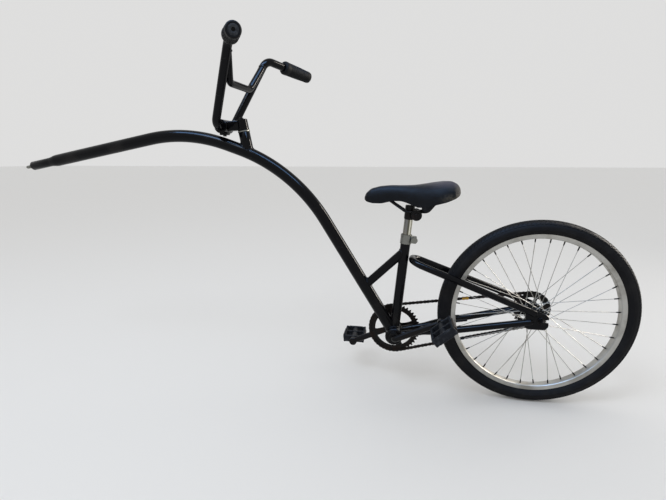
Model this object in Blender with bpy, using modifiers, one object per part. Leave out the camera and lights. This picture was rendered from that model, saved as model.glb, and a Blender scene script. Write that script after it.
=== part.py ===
"""Child's one-wheeled trailer bicycle, standing upright with its wheel on the ground.

Metres, +Z up. +X runs to the rear, the rider's left side faces -Y.
The origin is the centre of the boom's open mouth, where the bicycle hangs on its hitch.
"""
import math

import bmesh
import bpy
from mathutils import Matrix, Vector

# Fits and clearances
SEAT_GAP = 0.0003          # between pieces that touch
PIN_GAP = 0.0003           # radial play on an axle or spindle

# Wheel
HITCH_TO_AXLE = 1.757      # along X
AXLE_DROP = 0.456          # axle below the boom's mouth
TYRE_R = 0.3015
TYRE_WIDTH = 0.048
TYRE_HEIGHT = 0.0420       # rim's outer lip to tread
BEAD_R = TYRE_R - TYRE_HEIGHT
RIM_WIDTH = 0.0290
RIM_DEPTH = 0.0150
RIM_WALL = 0.0026
RIM_SIDES = 48
SPOKES = 36
SPOKE_D = 0.0022
NIPPLE_D = 0.0044
NIPPLE_LENGTH = 0.012
NIPPLE_TILT = 0.0004       # a slanting nipple's edge stands this far proud of its centre
SPOKE_CROSSINGS = 3
HUB_WIDTH = 0.090
HUB_BARREL_R = 0.0155
FLANGE_R = 0.0285
FLANGE_SPACING = 0.056
FLANGE_THICK = 0.0034
AXLE_D = 0.0100
AXLE_LENGTH = 0.166
DROPOUT_SPACING = 0.120    # between the dropouts' inner faces
DROPOUT_THICK = 0.0050
DROPOUT_SLOT = 0.050       # cut this far behind the axle, past the plate's edge
LOCKNUT_R = 0.0085
NUT_FLATS = 0.0150
NUT_HEIGHT = 0.0090
WASHER_R = 0.0110
WASHER_THICK = 0.0020

# Drive
CHAIN_STAY = TYRE_R + 0.1498    # bottom bracket to axle
BB_DROP = 0.098            # bottom bracket below the axle
CHAINLINE = 0.0425
CHAINRING_TEETH = 42
SPROCKET_TEETH = 28
CHAIN_PITCH = 0.0127
CHAIN_PLATE_HEIGHT = 0.0084
CHAIN_INNER_WIDTH = 0.0034
CHAIN_PLATE_THICK = 0.0019
ROLLER_D = 0.0070
TOOTH_THICK = 0.0026
RING_BAND = 0.0190         # solid band inside the chainring's teeth
RING_ARMS = 4
RING_ARM_WIDTH = 0.0200
RING_HUB_R = 0.0300
RING_ARM_LEAD = -10.0      # arms ahead of the crank, degrees
COG_BAND = 0.0160
COG_ARMS = 6
COG_ARM_WIDTH = 0.0100
COG_ARM_LEAD = 11.5        # degrees
FREEWHEEL_R = 0.0240
FREEWHEEL_WIDTH = 0.0130
CRANK_LENGTH = 0.165
CRANK_ANGLE = 26.5         # left arm above level, pointing rearward, degrees
CRANK_D = 0.0190
CRANK_EYE_D = 0.0270
CRANK_EYE_THICK = 0.0150
CRANK_TREAD = 0.0680       # eye's centre from the middle of the bicycle
CRANK_SHOULDER = 0.0565    # where the rod has turned from spindle to arm
CRANK_BEND_R = 0.0100
CRANK_END_TAPER = 0.74     # the arm thins towards its eye
BB_SHELL_D = 0.0570
BB_SHELL_WIDTH = 0.068
BB_WALL = 0.0030
CUP_LIP = 0.0030
CONE_R = 0.0170

# Pedals
PEDAL_WIDTH = 0.092
PEDAL_LENGTH = 0.076
PEDAL_THICK = 0.028
PEDAL_RAIL = 0.0080        # width of the frame around the pockets
PEDAL_RIB = 0.0060
PEDAL_AXLE_D = 0.0110
PEDAL_THREAD_D = 0.0142
PEDAL_BARREL_D = 0.0230
PEDAL_SHOULDER = 0.0090    # crank eye to pedal body
PEDAL_TILTS = {"left": 41.0, "right": 0.0}    # rear edge up, degrees
REFLECTOR_SIZE = (0.0040, 0.0600, 0.0150)

# Boom
BOOM_D = 0.0400
BOOM_TIP_D = 0.0310
BOOM_TIP_LENGTH = 0.075
BOOM_TAPER = 0.030
BOOM_WALL = 0.0025
MOUTH_DEPTH = 0.030
BOOM_FRONT = 0.627         # mouth to the first bend's corner
BOOM_FRONT_ANGLE = 10.8    # rising rearward, degrees
BOOM_MIDDLE = 0.382        # first corner to second
BOOM_MIDDLE_ANGLE = -19.2
BOOM_BEND_R = (0.535, 0.550)
BOOM_STEP = 5.0            # degrees between the bends' sections
STUD_D = 0.0110
STUD_REACH = 0.0310
STUD_COLLAR_D = 0.0170

# Rear frame
SEAT_TUBE_D = 0.0316
SEAT_TUBE_ANGLE = 4.9      # leaning rearward from upright, degrees
SEAT_TUBE_LENGTH = 0.3415  # bottom bracket centre to the tube's top
SEAT_TUBE_BORE = 0.150
GUSSET_D = 0.0278
GUSSET_ANGLE = 44.4
GUSSET_TOP = SEAT_TUBE_LENGTH - 0.0535    # along the seat tube from the bottom bracket
STAY_D = 0.0215
SEAT_STAY_SEAT = SEAT_TUBE_LENGTH - 0.0695
SEAT_STAY_FRONT_HALF = 0.0410
SEAT_STAY_END = (-0.012, 0.020)   # from the axle
CHAIN_STAY_ROOT_HALF = 0.0215
CHAIN_STAY_BEND = 0.100    # behind the bottom bracket, the stays begin to spread
CHAIN_STAY_SPREAD = 0.048
CHAIN_STAY_TYRE_HALF = 0.0410
CHAIN_STAY_END = (-0.022, -0.004)
BRIDGE_D = 0.0140
BRIDGE_REACH = CHAIN_STAY - TYRE_R - 0.0558    # behind the bottom bracket

# Seat
CLAMP_WALL = 0.0022
CLAMP_HEIGHT = 0.030
CLAMP_BOLT_REACH = 0.0265  # behind the seat tube's axis
CLAMP_EAR = (0.024, 0.018, 0.022)
CLAMP_SLIT = 0.0030
CLAMP_BOLT_D = 0.0060
CLAMP_BOLT_HEAD_D = 0.0200
CLAMP_BOLT_HEAD = 0.0060
POST_D = 0.0266
POST_SHOWN = 0.052         # above the clamp
POST_INSIDE = 0.110
GUTS_WALL = 0.0018         # the saddle clamp's barrel around the post's top
GUTS_HEIGHT = 0.044
GUTS_BOLT_RISE = 0.015     # cross bolt above the post's top
GUTS_BOLT_BACK = 0.0220    # and behind it
GUTS_DISC_D = 0.0340
GUTS_DISC_HALF = 0.0300
GUTS_BOLT_D = 0.0140
GUTS_BOLT_HALF = 0.0360
SADDLE_LENGTH = 0.290
SADDLE_WIDTH = 0.168
SADDLE_DEPTH = 0.100       # unit of the sections' heights
SADDLE_AHEAD = 0.1441      # nose ahead of the post's top
SADDLE_RISE = 0.0959       # top line at the nose, above the post's top
SADDLE_PITCH = 5.6         # nose down, degrees
PAD_THICK = 0.0150
COVER_WALL = 0.0030
PAN_WALL = 0.0035
PAN_ROOF_GAP = 0.0009      # wider than the walls' gap, for the steep nose
PAN_EDGE = 0.0055          # least height of the pan at the nose and tail
RAIL_D = 0.0070
RAIL_HALF = 0.0220
RAIL_NOSE_HALF = 0.0120
RAIL_REAR_HALF = 0.0420
RAIL_RISE = 0.0100         # above the cross bolt
RAIL_FRONT = 0.0335        # level stretch ahead of the cross bolt
RAIL_REAR = 0.0345         # and behind it
RAIL_SHARES = (0.20, 0.84) # of the saddle's length, where the rails enter the pan
RAIL_DEPTHS = (0.028, 0.036)
RAIL_BEND_R = 0.018
SOCKET_WIDTH = 0.0140
SOCKET_FRONT = 0.016       # ahead of the rails' rear bend
NOSE_SOCKET = (0.024, 0.036, 0.014)

# Handlebar
HEAD_FROM_HITCH = 0.824    # along X to where the head tube meets the boom
HEAD_ANGLE = -10.5         # top leaning forward, degrees
HEAD_D = 0.0370
HEAD_LENGTH = 0.067        # from the boom's centre line
RING_HEIGHT = 0.0040
RING_LIP = 0.0010
STEM_HEIGHT = 0.035
STEM_REACH = 0.0646
STEM_DROP = 0.0032         # the bar sits lower than the stem's middle
STEM_ARM = (0.032, 0.032)
STEM_BARREL_D = 0.0440
STEM_BARREL_WIDTH = 0.056
STEM_LUG = (0.026, 0.024, 0.010)
QUILL_BOLT_R = 0.0075
QUILL_BOLT_HEAD = 0.0060
PINCH_BOLT_R = 0.0060
PINCH_BOLT_HEAD = 0.0035
BAR_D = 0.0260
BAR_YAW = -3.1             # the bar stands slightly turned, degrees
BAR_CENTRE_HALF = 0.060
BAR_TOP = (0.0996, 0.2250) # top bends, rear of and above the clamp
BAR_TOP_HALF = 0.140
BAR_END = (0.1967, 0.1955)
BAR_END_HALF = 0.312
BAR_BEND_R = 0.036
BRACE_D = 0.0222
BRACE_CORNER = (0.0629, 0.1214)
BRACE_CORNER_HALF = 0.072
BRACE_BEND_R = 0.026
BRACE_SEAT = 0.93          # share of the riser's height where the brace is welded
GRIP_LENGTH = 0.122
GRIP_D = 0.0410
GRIP_FLANGE_D = 0.0460
GRIP_FLANGE = 0.0120
GRIP_WAIST = 0.0025        # the middle is this much slimmer than the end, in radius
GRIP_WALL_END = 0.0040
GRIP_END_HOLE_R = 0.0050

AXLE = Vector((HITCH_TO_AXLE, 0, -AXLE_DROP))
BB = AXLE + Vector((-math.sqrt(CHAIN_STAY ** 2 - BB_DROP ** 2), 0, -BB_DROP))
Y_AXIS = Vector((0, 1, 0))
TO_Y = Matrix.Rotation(math.radians(-90), 4, "X")   # a turned shape's axis from Z to Y
SIDES = (("left", -1), ("right", 1))


def direction(degrees):
    """Unit vector in the XZ plane, measured from +X towards +Z."""
    a = math.radians(degrees)
    return Vector((math.cos(a), 0, math.sin(a)))


SEAT_AXIS = direction(90 - SEAT_TUBE_ANGLE)
HEAD_AXIS = direction(90 - HEAD_ANGLE)


# Scene and materials

def clear_scene():
    for obj in list(bpy.data.objects):
        bpy.data.objects.remove(obj)


clear_scene()
parts = bpy.data.collections.new("trailer_bicycle")
cutters = bpy.data.collections.new("cutters")
bpy.context.scene.collection.children.link(parts)
bpy.context.scene.collection.children.link(cutters)


def material(name, colour, roughness, metallic):
    mat = bpy.data.materials.new(name)
    mat.use_nodes = True
    shader = mat.node_tree.nodes["Principled BSDF"]
    shader.inputs["Base Color"].default_value = (*colour, 1)
    shader.inputs["Roughness"].default_value = roughness
    shader.inputs["Metallic"].default_value = metallic
    return mat


BLACK_PAINT = material("black_paint", (0.012, 0.013, 0.016), 0.22, 0.0)
BLACK_STEEL = material("black_steel", (0.020, 0.019, 0.019), 0.40, 0.6)
ZINC = material("zinc", (0.52, 0.52, 0.49), 0.35, 0.9)
CHROME = material("chrome", (0.62, 0.62, 0.60), 0.15, 1.0)
ALLOY = material("alloy", (0.50, 0.49, 0.46), 0.38, 0.9)
RUST = material("rusty_steel", (0.060, 0.030, 0.018), 0.70, 0.5)
RUBBER = material("rubber", (0.015, 0.015, 0.015), 0.75, 0.0)
PLASTIC = material("black_plastic", (0.018, 0.018, 0.020), 0.50, 0.0)
VINYL = material("saddle_vinyl", (0.016, 0.017, 0.022), 0.38, 0.0)


# Helpers

def link(obj, mat, smooth=True):
    """Puts an object among the parts with its material."""
    for owner in list(obj.users_collection):
        owner.objects.unlink(obj)
    parts.objects.link(obj)
    if obj.data.materials:
        obj.data.materials[0] = mat
    else:
        obj.data.materials.append(mat)
    if smooth and obj.type == "MESH":
        obj.data.shade_smooth()
        obj.data.set_sharp_from_angle(angle=math.radians(35))
    return obj


def hide_as_cutter(obj):
    for owner in list(obj.users_collection):
        owner.objects.unlink(obj)
    cutters.objects.link(obj)
    obj.hide_render = True
    obj.display_type = "WIRE"
    return obj


def boolean(obj, other, operation="DIFFERENCE"):
    """Cuts, or joins, obj with another mesh object, which becomes a cutter."""
    hide_as_cutter(other)
    mod = obj.modifiers.new(operation.lower(), "BOOLEAN")
    mod.operation = operation
    mod.object = other
    return obj


def merge_flat(obj):
    """Joins the flat facets that a Boolean leaves, without moving any edge."""
    mod = obj.modifiers.new("merge_flat", "DECIMATE")
    mod.decimate_type = "DISSOLVE"
    mod.angle_limit = math.radians(0.5)
    return obj


def turned(name, profile, sides=28):
    """A body turned around Z from (radius, z) points that run top to bottom on its outer side."""
    mesh = bpy.data.meshes.new(name)
    mesh.from_pydata([(r, 0, z) for r, z in profile], [(i, i + 1) for i in range(len(profile) - 1)], [])
    obj = bpy.data.objects.new(name, mesh)
    parts.objects.link(obj)
    mod = obj.modifiers.new("turn", "SCREW")
    mod.steps = mod.render_steps = sides
    mod.use_merge_vertices = True
    mod.merge_threshold = 0.00001
    return as_mesh(obj)


def ring_profile(r_in, r_out, z_low, z_high):
    """Closed outline of a plain ring, for a turned body."""
    return [(r_in, z_high), (r_out, z_high), (r_out, z_low), (r_in, z_low), (r_in, z_high)]


def as_mesh(obj):
    """Replaces a curve, or a mesh with modifiers, by its evaluated mesh with welded caps."""
    bpy.context.view_layer.update()
    evaluated = obj.evaluated_get(bpy.context.evaluated_depsgraph_get())
    mesh = bpy.data.meshes.new_from_object(evaluated)
    bm = bmesh.new()
    bm.from_mesh(mesh)
    bmesh.ops.remove_doubles(bm, verts=bm.verts, dist=0.000005)
    bmesh.ops.recalc_face_normals(bm, faces=bm.faces)
    bm.to_mesh(mesh)
    bm.free()
    new = bpy.data.objects.new(obj.name, mesh)
    new.matrix_world = obj.matrix_world.copy()
    name = obj.name
    bpy.data.objects.remove(obj)
    new.name = name
    parts.objects.link(new)
    return new


def rod(name, a, b, radius, sides=16):
    """A cylinder from point a to point b."""
    a, b = Vector(a), Vector(b)
    bm = bmesh.new()
    bmesh.ops.create_cone(bm, cap_ends=True, segments=sides, radius1=radius, radius2=radius,
                          depth=(b - a).length)
    turn = (b - a).to_track_quat("Z", "Y").to_matrix().to_4x4()
    bmesh.ops.transform(bm, matrix=Matrix.Translation((a + b) / 2) @ turn, verts=bm.verts)
    mesh = bpy.data.meshes.new(name)
    bm.to_mesh(mesh)
    bm.free()
    obj = bpy.data.objects.new(name, mesh)
    parts.objects.link(obj)
    return obj


def box(name, size, centre, turn=None):
    bm = bmesh.new()
    bmesh.ops.create_cube(bm, size=1)
    matrix = Matrix.Translation(centre) @ (turn or Matrix()) @ Matrix.Diagonal((*size, 1))
    bmesh.ops.transform(bm, matrix=matrix, verts=bm.verts)
    mesh = bpy.data.meshes.new(name)
    bm.to_mesh(mesh)
    bm.free()
    obj = bpy.data.objects.new(name, mesh)
    parts.objects.link(obj)
    return obj


def rounded_path(corners, radii, step=6.0):
    """Points along straight runs whose inner corners are arcs of the given radii."""
    corners = [Vector(c) for c in corners]
    points = [corners[0]]
    for before, corner, after, radius in zip(corners, corners[1:], corners[2:], radii):
        back, ahead = (before - corner).normalized(), (after - corner).normalized()
        bend = math.pi - back.angle(ahead)
        reach = radius * math.tan(bend / 2)
        centre = corner + (back + ahead).normalized() * radius / math.cos(bend / 2)
        start, end = corner + back * reach - centre, corner + ahead * reach - centre
        axis = start.cross(end).normalized()
        steps = max(2, math.ceil(math.degrees(bend) / step))
        for i in range(steps + 1):
            points.append(centre + Matrix.Rotation(bend * i / steps, 3, axis) @ start)
    points.append(corners[-1])
    return points


def tube(name, points, radius, sides=16, scales=None):
    """A round tube along points, as one closed mesh; scales widen or narrow it at each point."""
    curve = bpy.data.curves.new(name, "CURVE")
    curve.dimensions = "3D"
    curve.bevel_depth = radius
    curve.bevel_resolution = (sides - 4) // 2
    curve.use_fill_caps = True
    spline = curve.splines.new("POLY")
    spline.points.add(len(points) - 1)
    for i, point in enumerate(points):
        spline.points[i].co = (*point, 1)
        spline.points[i].radius = scales[i] if scales else 1.0
    obj = bpy.data.objects.new(name, curve)
    parts.objects.link(obj)
    return as_mesh(obj)


def plate(name, outlines, thick):
    """A flat plate in the XZ plane, centred on Y = 0; outlines after the first are its holes."""
    curve = bpy.data.curves.new(name, "CURVE")
    curve.dimensions = "2D"
    curve.fill_mode = "BOTH"
    curve.extrude = thick / 2
    for outline in outlines:
        spline = curve.splines.new("POLY")
        spline.points.add(len(outline) - 1)
        for point, (x, z) in zip(spline.points, outline):
            point.co = (x, z, 0, 1)
        spline.use_cyclic_u = True
    obj = bpy.data.objects.new(name, curve)
    parts.objects.link(obj)
    obj.matrix_world = Matrix.Rotation(math.radians(90), 4, "X")
    bpy.context.view_layer.update()
    obj = as_mesh(obj)
    obj.data.transform(obj.matrix_world)
    obj.matrix_world = Matrix()
    return obj


def circle(radius, count, centre=(0, 0)):
    return [(centre[0] + radius * math.cos(math.tau * i / count),
             centre[1] + radius * math.sin(math.tau * i / count)) for i in range(count)]


def moved(obj, matrix):
    """Moves the mesh itself, so that the object keeps its origin at the world's."""
    obj.data.transform(matrix)
    return obj


def pivot(obj, origin):
    """Puts an object's origin on its joint without moving its shape."""
    obj.data.transform(Matrix.Translation(-Vector(origin)))
    obj.location = origin
    return obj


# Boom with its hitch stud

def boom_corners():
    first = direction(BOOM_FRONT_ANGLE) * BOOM_FRONT
    second = first + direction(BOOM_MIDDLE_ANGLE) * BOOM_MIDDLE
    return [Vector((0, 0, 0)), first, second, BB]


def boom_tube(name, radius):
    """The boom's outer form, with the drawn-down tip."""
    path = rounded_path(boom_corners(), BOOM_BEND_R, step=BOOM_STEP)
    ahead = direction(BOOM_FRONT_ANGLE)
    tip = radius - (BOOM_D - BOOM_TIP_D) / 2
    path[1:1] = [ahead * BOOM_TIP_LENGTH, ahead * (BOOM_TIP_LENGTH + BOOM_TAPER)]
    scales = [tip / radius, tip / radius] + [1.0] * (len(path) - 2)
    return tube(name, path, radius, sides=18, scales=scales)


def make_boom():
    boom = boom_tube("boom", BOOM_D / 2)
    ahead = direction(BOOM_FRONT_ANGLE)
    mouth_r = BOOM_TIP_D / 2 - BOOM_WALL
    boolean(boom, rod("boom_mouth_cut", -ahead * 0.01, ahead * MOUTH_DEPTH, mouth_r, 20))
    boolean(boom, shell_cutter("boom_shell_cut"))
    link(boom, BLACK_PAINT)


def make_hitch_stud():
    bush_r = BOOM_TIP_D / 2 - BOOM_WALL - SEAT_GAP
    inner = MOUTH_DEPTH - SEAT_GAP
    nose = STUD_D / 2
    profile = [(0.0001, STUD_REACH)]
    profile += [(nose * math.sin(a), STUD_REACH - nose * (1 - math.cos(a)))
                for a in (math.radians(d) for d in (25, 50, 75, 90))]
    profile += [(nose, 0.010), (STUD_COLLAR_D / 2, 0.009), (STUD_COLLAR_D / 2, 0.003), (nose, 0.002),
                (nose, -0.006), (bush_r, -0.006), (bush_r, -inner), (0.0001, -inner)]
    stud = close_axis(turned("hitch_stud", profile, 16))
    ahead = -direction(BOOM_FRONT_ANGLE)
    moved(stud, ahead.to_track_quat("Z", "Y").to_matrix().to_4x4())
    link(stud, ZINC)


def close_axis(obj):
    """Draws the tiny end holes of a solid turned body together on its axis."""
    bm = bmesh.new()
    bm.from_mesh(obj.data)
    for v in bm.verts:
        if math.hypot(v.co.x, v.co.y) < 0.0002:
            v.co.x = v.co.y = 0
    bmesh.ops.remove_doubles(bm, verts=bm.verts, dist=0.000005)
    bmesh.ops.recalc_face_normals(bm, faces=bm.faces)
    bm.to_mesh(obj.data)
    bm.free()
    return obj


# Bottom bracket and rear frame

def shell_cutter(name):
    """The bottom bracket shell with the seating gap, to cope the tubes that meet it."""
    reach = Vector((0, BB_SHELL_WIDTH, 0))
    return rod(name, BB - reach, BB + reach, BB_SHELL_D / 2 + SEAT_GAP, 32)


def seat_tube_cutter(name):
    return rod(name, BB, BB + SEAT_AXIS * (SEAT_TUBE_LENGTH + 0.05), SEAT_TUBE_D / 2 + SEAT_GAP, 24)


def make_bottom_bracket():
    half = BB_SHELL_WIDTH / 2
    shell = turned("bottom_bracket_shell", ring_profile(BB_SHELL_D / 2 - BB_WALL, BB_SHELL_D / 2, -half, half))
    moved(shell, Matrix.Translation(BB) @ TO_Y)
    link(shell, BLACK_PAINT)
    cup_r = BB_SHELL_D / 2 - BB_WALL - SEAT_GAP
    lip_r = BB_SHELL_D / 2 - 0.0012
    hole = CRANK_D / 2 + 0.0040
    outline = [(hole, half + CUP_LIP), (lip_r - 0.0012, half + CUP_LIP), (lip_r, half + CUP_LIP - 0.0012),
               (lip_r, half + SEAT_GAP), (cup_r, half + SEAT_GAP), (cup_r, half - 0.012),
               (cup_r - 0.003, half - 0.012), (cup_r - 0.003, half - 0.002), (hole, half - 0.002),
               (hole, half + CUP_LIP)]
    for side, sign in SIDES:
        cup = turned("bearing_cup_" + side, outline, 18)
        facing = TO_Y if sign > 0 else Matrix.Rotation(math.radians(90), 4, "X")
        moved(cup, Matrix.Translation(BB) @ facing)
        link(cup, BLACK_STEEL)


def make_seat_tube():
    top = BB + SEAT_AXIS * SEAT_TUBE_LENGTH
    seat_tube = rod("seat_tube", BB, top, SEAT_TUBE_D / 2, 24)
    boolean(seat_tube, shell_cutter("seat_tube_shell_cut"))
    boolean(seat_tube, boom_tube("seat_tube_boom_cut", BOOM_D / 2 + SEAT_GAP))
    boolean(seat_tube, rod("seat_tube_bore", top - SEAT_AXIS * SEAT_TUBE_BORE, top + SEAT_AXIS * 0.01,
                           POST_D / 2 + SEAT_GAP, 24))
    link(seat_tube, BLACK_PAINT)


def make_gusset():
    high = BB + SEAT_AXIS * GUSSET_TOP
    corners = boom_corners()
    down = (corners[3] - corners[2]).normalized()
    along = direction(GUSSET_ANGLE)
    # the gusset's line meets the down tube's centre line at this distance below its top
    offset = high - BB
    reach = (offset.x * down.z - offset.z * down.x) / (along.x * down.z - along.z * down.x)
    gusset = rod("gusset_tube", high - along * reach, high, GUSSET_D / 2, 20)
    boolean(gusset, boom_tube("gusset_boom_cut", BOOM_D / 2 + SEAT_GAP))
    boolean(gusset, seat_tube_cutter("gusset_seat_cut"))
    link(gusset, BLACK_PAINT)


def dropout_outline(grow=0.0):
    """Plate around the axle, from the axle's centre; the slot opens to the rear."""
    return [(-0.046 - grow, -0.022 - grow), (-0.036 - grow, -0.028 - grow), (0.012, -0.028 - grow),
            (0.021 + grow, -0.018), (0.021 + grow, 0.012), (0.010, 0.022 + grow),
            (-0.030, 0.040 + grow), (-0.046 - grow, 0.036 + grow)]


def dropout_slot():
    r = AXLE_D / 2 + PIN_GAP
    arc = [(-r * math.sin(a), -r * math.cos(a)) for a in (math.pi * i / 8 for i in range(9))]
    return arc + [(DROPOUT_SLOT, r), (DROPOUT_SLOT, -r)]


def dropout_y(sign):
    return sign * (DROPOUT_SPACING + DROPOUT_THICK) / 2


def dropout_cutter(name, sign):
    cutter = plate(name, [dropout_outline(SEAT_GAP)], DROPOUT_THICK + 2 * SEAT_GAP)
    return moved(cutter, Matrix.Translation(AXLE + Vector((0, dropout_y(sign), 0))))


def make_dropouts():
    for side, sign in SIDES:
        place = Matrix.Translation(AXLE + Vector((0, dropout_y(sign), 0)))
        dropout = moved(plate("dropout_" + side, [dropout_outline()], DROPOUT_THICK), place)
        slot = moved(plate("dropout_slot_" + side, [dropout_slot()], 3 * DROPOUT_THICK), place)
        boolean(dropout, slot)
        link(dropout, BLACK_PAINT)


def make_seat_stays():
    """One hairpin tube: its bend is welded to the seat tube, its ends hold the dropouts."""
    r = STAY_D / 2
    weld = BB + SEAT_AXIS * SEAT_STAY_SEAT
    end = AXLE + Vector((SEAT_STAY_END[0], 0, SEAT_STAY_END[1]))
    slope = (end - weld).normalized()
    front = weld + slope * ((SEAT_TUBE_D / 2 + r) / slope.x + SEAT_GAP)
    half = SEAT_STAY_FRONT_HALF
    spread = dropout_y(1)
    corners = [end - Y_AXIS * spread, front - Y_AXIS * half, front + Y_AXIS * half, end + Y_AXIS * spread]
    stays = tube("seat_stays", rounded_path(corners, (half * 0.9, half * 0.9), step=15), r, 14)
    boolean(stays, seat_tube_cutter("seat_stay_seat_cut"))
    for side, sign in SIDES:
        boolean(stays, dropout_cutter("seat_stay_slot_" + side, sign))
    link(stays, BLACK_PAINT)


def chain_stay_corners(sign):
    end = AXLE + Vector((CHAIN_STAY_END[0], 0, CHAIN_STAY_END[1]))
    along = (end - BB).normalized()
    return [BB + Y_AXIS * sign * CHAIN_STAY_ROOT_HALF,
            BB + along * CHAIN_STAY_BEND + Y_AXIS * sign * (CHAIN_STAY_ROOT_HALF + 0.002),
            BB + along * (CHAIN_STAY_BEND + CHAIN_STAY_SPREAD) + Y_AXIS * sign * CHAIN_STAY_TYRE_HALF,
            end + Y_AXIS * dropout_y(sign)]


def chain_stay_tube(name, sign, radius):
    return tube(name, rounded_path(chain_stay_corners(sign), (0.05, 0.05), step=10), radius, 14)


def make_chain_stays():
    for side, sign in SIDES:
        stay = chain_stay_tube("chain_stay_" + side, sign, STAY_D / 2)
        boolean(stay, shell_cutter("chain_stay_shell_cut_" + side))
        boolean(stay, dropout_cutter("chain_stay_slot_" + side, sign))
        link(stay, BLACK_PAINT)
    along = (AXLE + Vector((CHAIN_STAY_END[0], 0, CHAIN_STAY_END[1])) - BB).normalized()
    middle = BB + along * BRIDGE_REACH
    half = CHAIN_STAY_ROOT_HALF
    bridge = rod("chain_stay_bridge", middle - Y_AXIS * half, middle + Y_AXIS * half, BRIDGE_D / 2, 14)
    for side, sign in SIDES:
        boolean(bridge, chain_stay_tube("bridge_cut_" + side, sign, STAY_D / 2 + SEAT_GAP))
    link(bridge, BLACK_PAINT)


# Wheel

def make_axle():
    """Axle with its cones and locknuts, still in the frame while the hub turns."""
    half, inner = AXLE_LENGTH / 2, DROPOUT_SPACING / 2 - SEAT_GAP
    nut, hub_end = LOCKNUT_R, HUB_WIDTH / 2 + 0.001
    r = AXLE_D / 2
    profile = [(0.0001, half), (r - 0.001, half), (r, half - 0.001), (r, inner), (nut, inner), (nut, hub_end),
               (r, hub_end), (r, -hub_end), (nut, -hub_end), (nut, -inner), (r, -inner), (r, -half + 0.001),
               (r - 0.001, -half), (0.0001, -half)]
    axle = close_axis(turned("axle", profile, 16))
    link(moved(axle, Matrix.Translation(AXLE) @ TO_Y), BLACK_STEEL)
    base = DROPOUT_SPACING / 2 + DROPOUT_THICK + SEAT_GAP
    for side, sign in SIDES:
        start = AXLE + Y_AXIS * sign * base
        nut = rod("axle_nut_" + side, start + Y_AXIS * sign * (WASHER_THICK - 0.0002),
                  start + Y_AXIS * sign * (WASHER_THICK + NUT_HEIGHT), NUT_FLATS / math.sqrt(3), 6)
        boolean(nut, rod("axle_washer_" + side, start, start + Y_AXIS * sign * WASHER_THICK, WASHER_R, 16), "UNION")
        boolean(nut, rod("axle_nut_bore_" + side, start - Y_AXIS * sign * 0.01, start + Y_AXIS * sign * 0.03,
                         r + SEAT_GAP, 16))
        link(nut, BLACK_STEEL, smooth=False)


def make_tyre():
    """Carcass section: a round casing whose beads sit inside the rim's lips."""
    half = TYRE_WIDTH / 2
    centre = TYRE_R - half
    bead = RIM_WIDTH / 2 - RIM_WALL - SEAT_GAP
    inner = BEAD_R - 0.0050
    arc = [(centre + half * math.cos(a), half * math.sin(a))
           for a in (math.radians(d) for d in (116, 84, 50, 17, -17, -50, -84, -116))]
    profile = [(inner, bead), (BEAD_R + 0.0006, bead)] + arc + [(BEAD_R + 0.0006, -bead), (inner, -bead),
                                                             (inner, bead)]
    tyre = moved(turned("tyre", profile, 48), Matrix.Translation(AXLE) @ TO_Y)
    link(pivot(tyre, AXLE), RUBBER)


def rim_inner_radius():
    return BEAD_R - RIM_DEPTH


def make_rim():
    half, wall = RIM_WIDTH / 2, RIM_WALL
    well = BEAD_R - 0.0075
    base = rim_inner_radius()
    profile = [(BEAD_R, half), (BEAD_R, half - wall), (well, half - wall - 0.0002), (well, -half + wall + 0.0002),
               (BEAD_R, -half + wall), (BEAD_R, -half), (base + 0.003, -half), (base, -half + 0.006),
               (base, half - 0.006), (base + 0.003, half), (BEAD_R, half)]
    rim = moved(turned("rim", profile[::-1], RIM_SIDES), Matrix.Translation(AXLE) @ TO_Y)
    link(pivot(rim, AXLE), ALLOY)


def spoke_ends(index):
    """Hub and rim ends of one spoke, about the wheel's centre with its axis on Y."""
    side = 1 if index % 2 else -1
    outward = 1 if (index // 2) % 2 else -1
    rim_angle = math.tau * (index + 0.5) / SPOKES
    per_flange = SPOKES // 2
    swing = outward * math.tau * SPOKE_CROSSINGS / per_flange
    hub_angle = rim_angle - swing
    hole_r = FLANGE_R - 0.0035
    hub_y = side * (FLANGE_SPACING / 2) + outward * (FLANGE_THICK / 2 + SPOKE_D / 2 - 0.0004)
    flat = rim_inner_radius() * math.cos(math.pi / RIM_SIDES)
    rim_r = flat - SEAT_GAP - NIPPLE_TILT
    hub = Vector((hole_r * math.cos(hub_angle), hub_y, hole_r * math.sin(hub_angle)))
    rim = Vector((rim_r * math.cos(rim_angle), side * 0.0030, rim_r * math.sin(rim_angle)))
    return hub, rim


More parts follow.
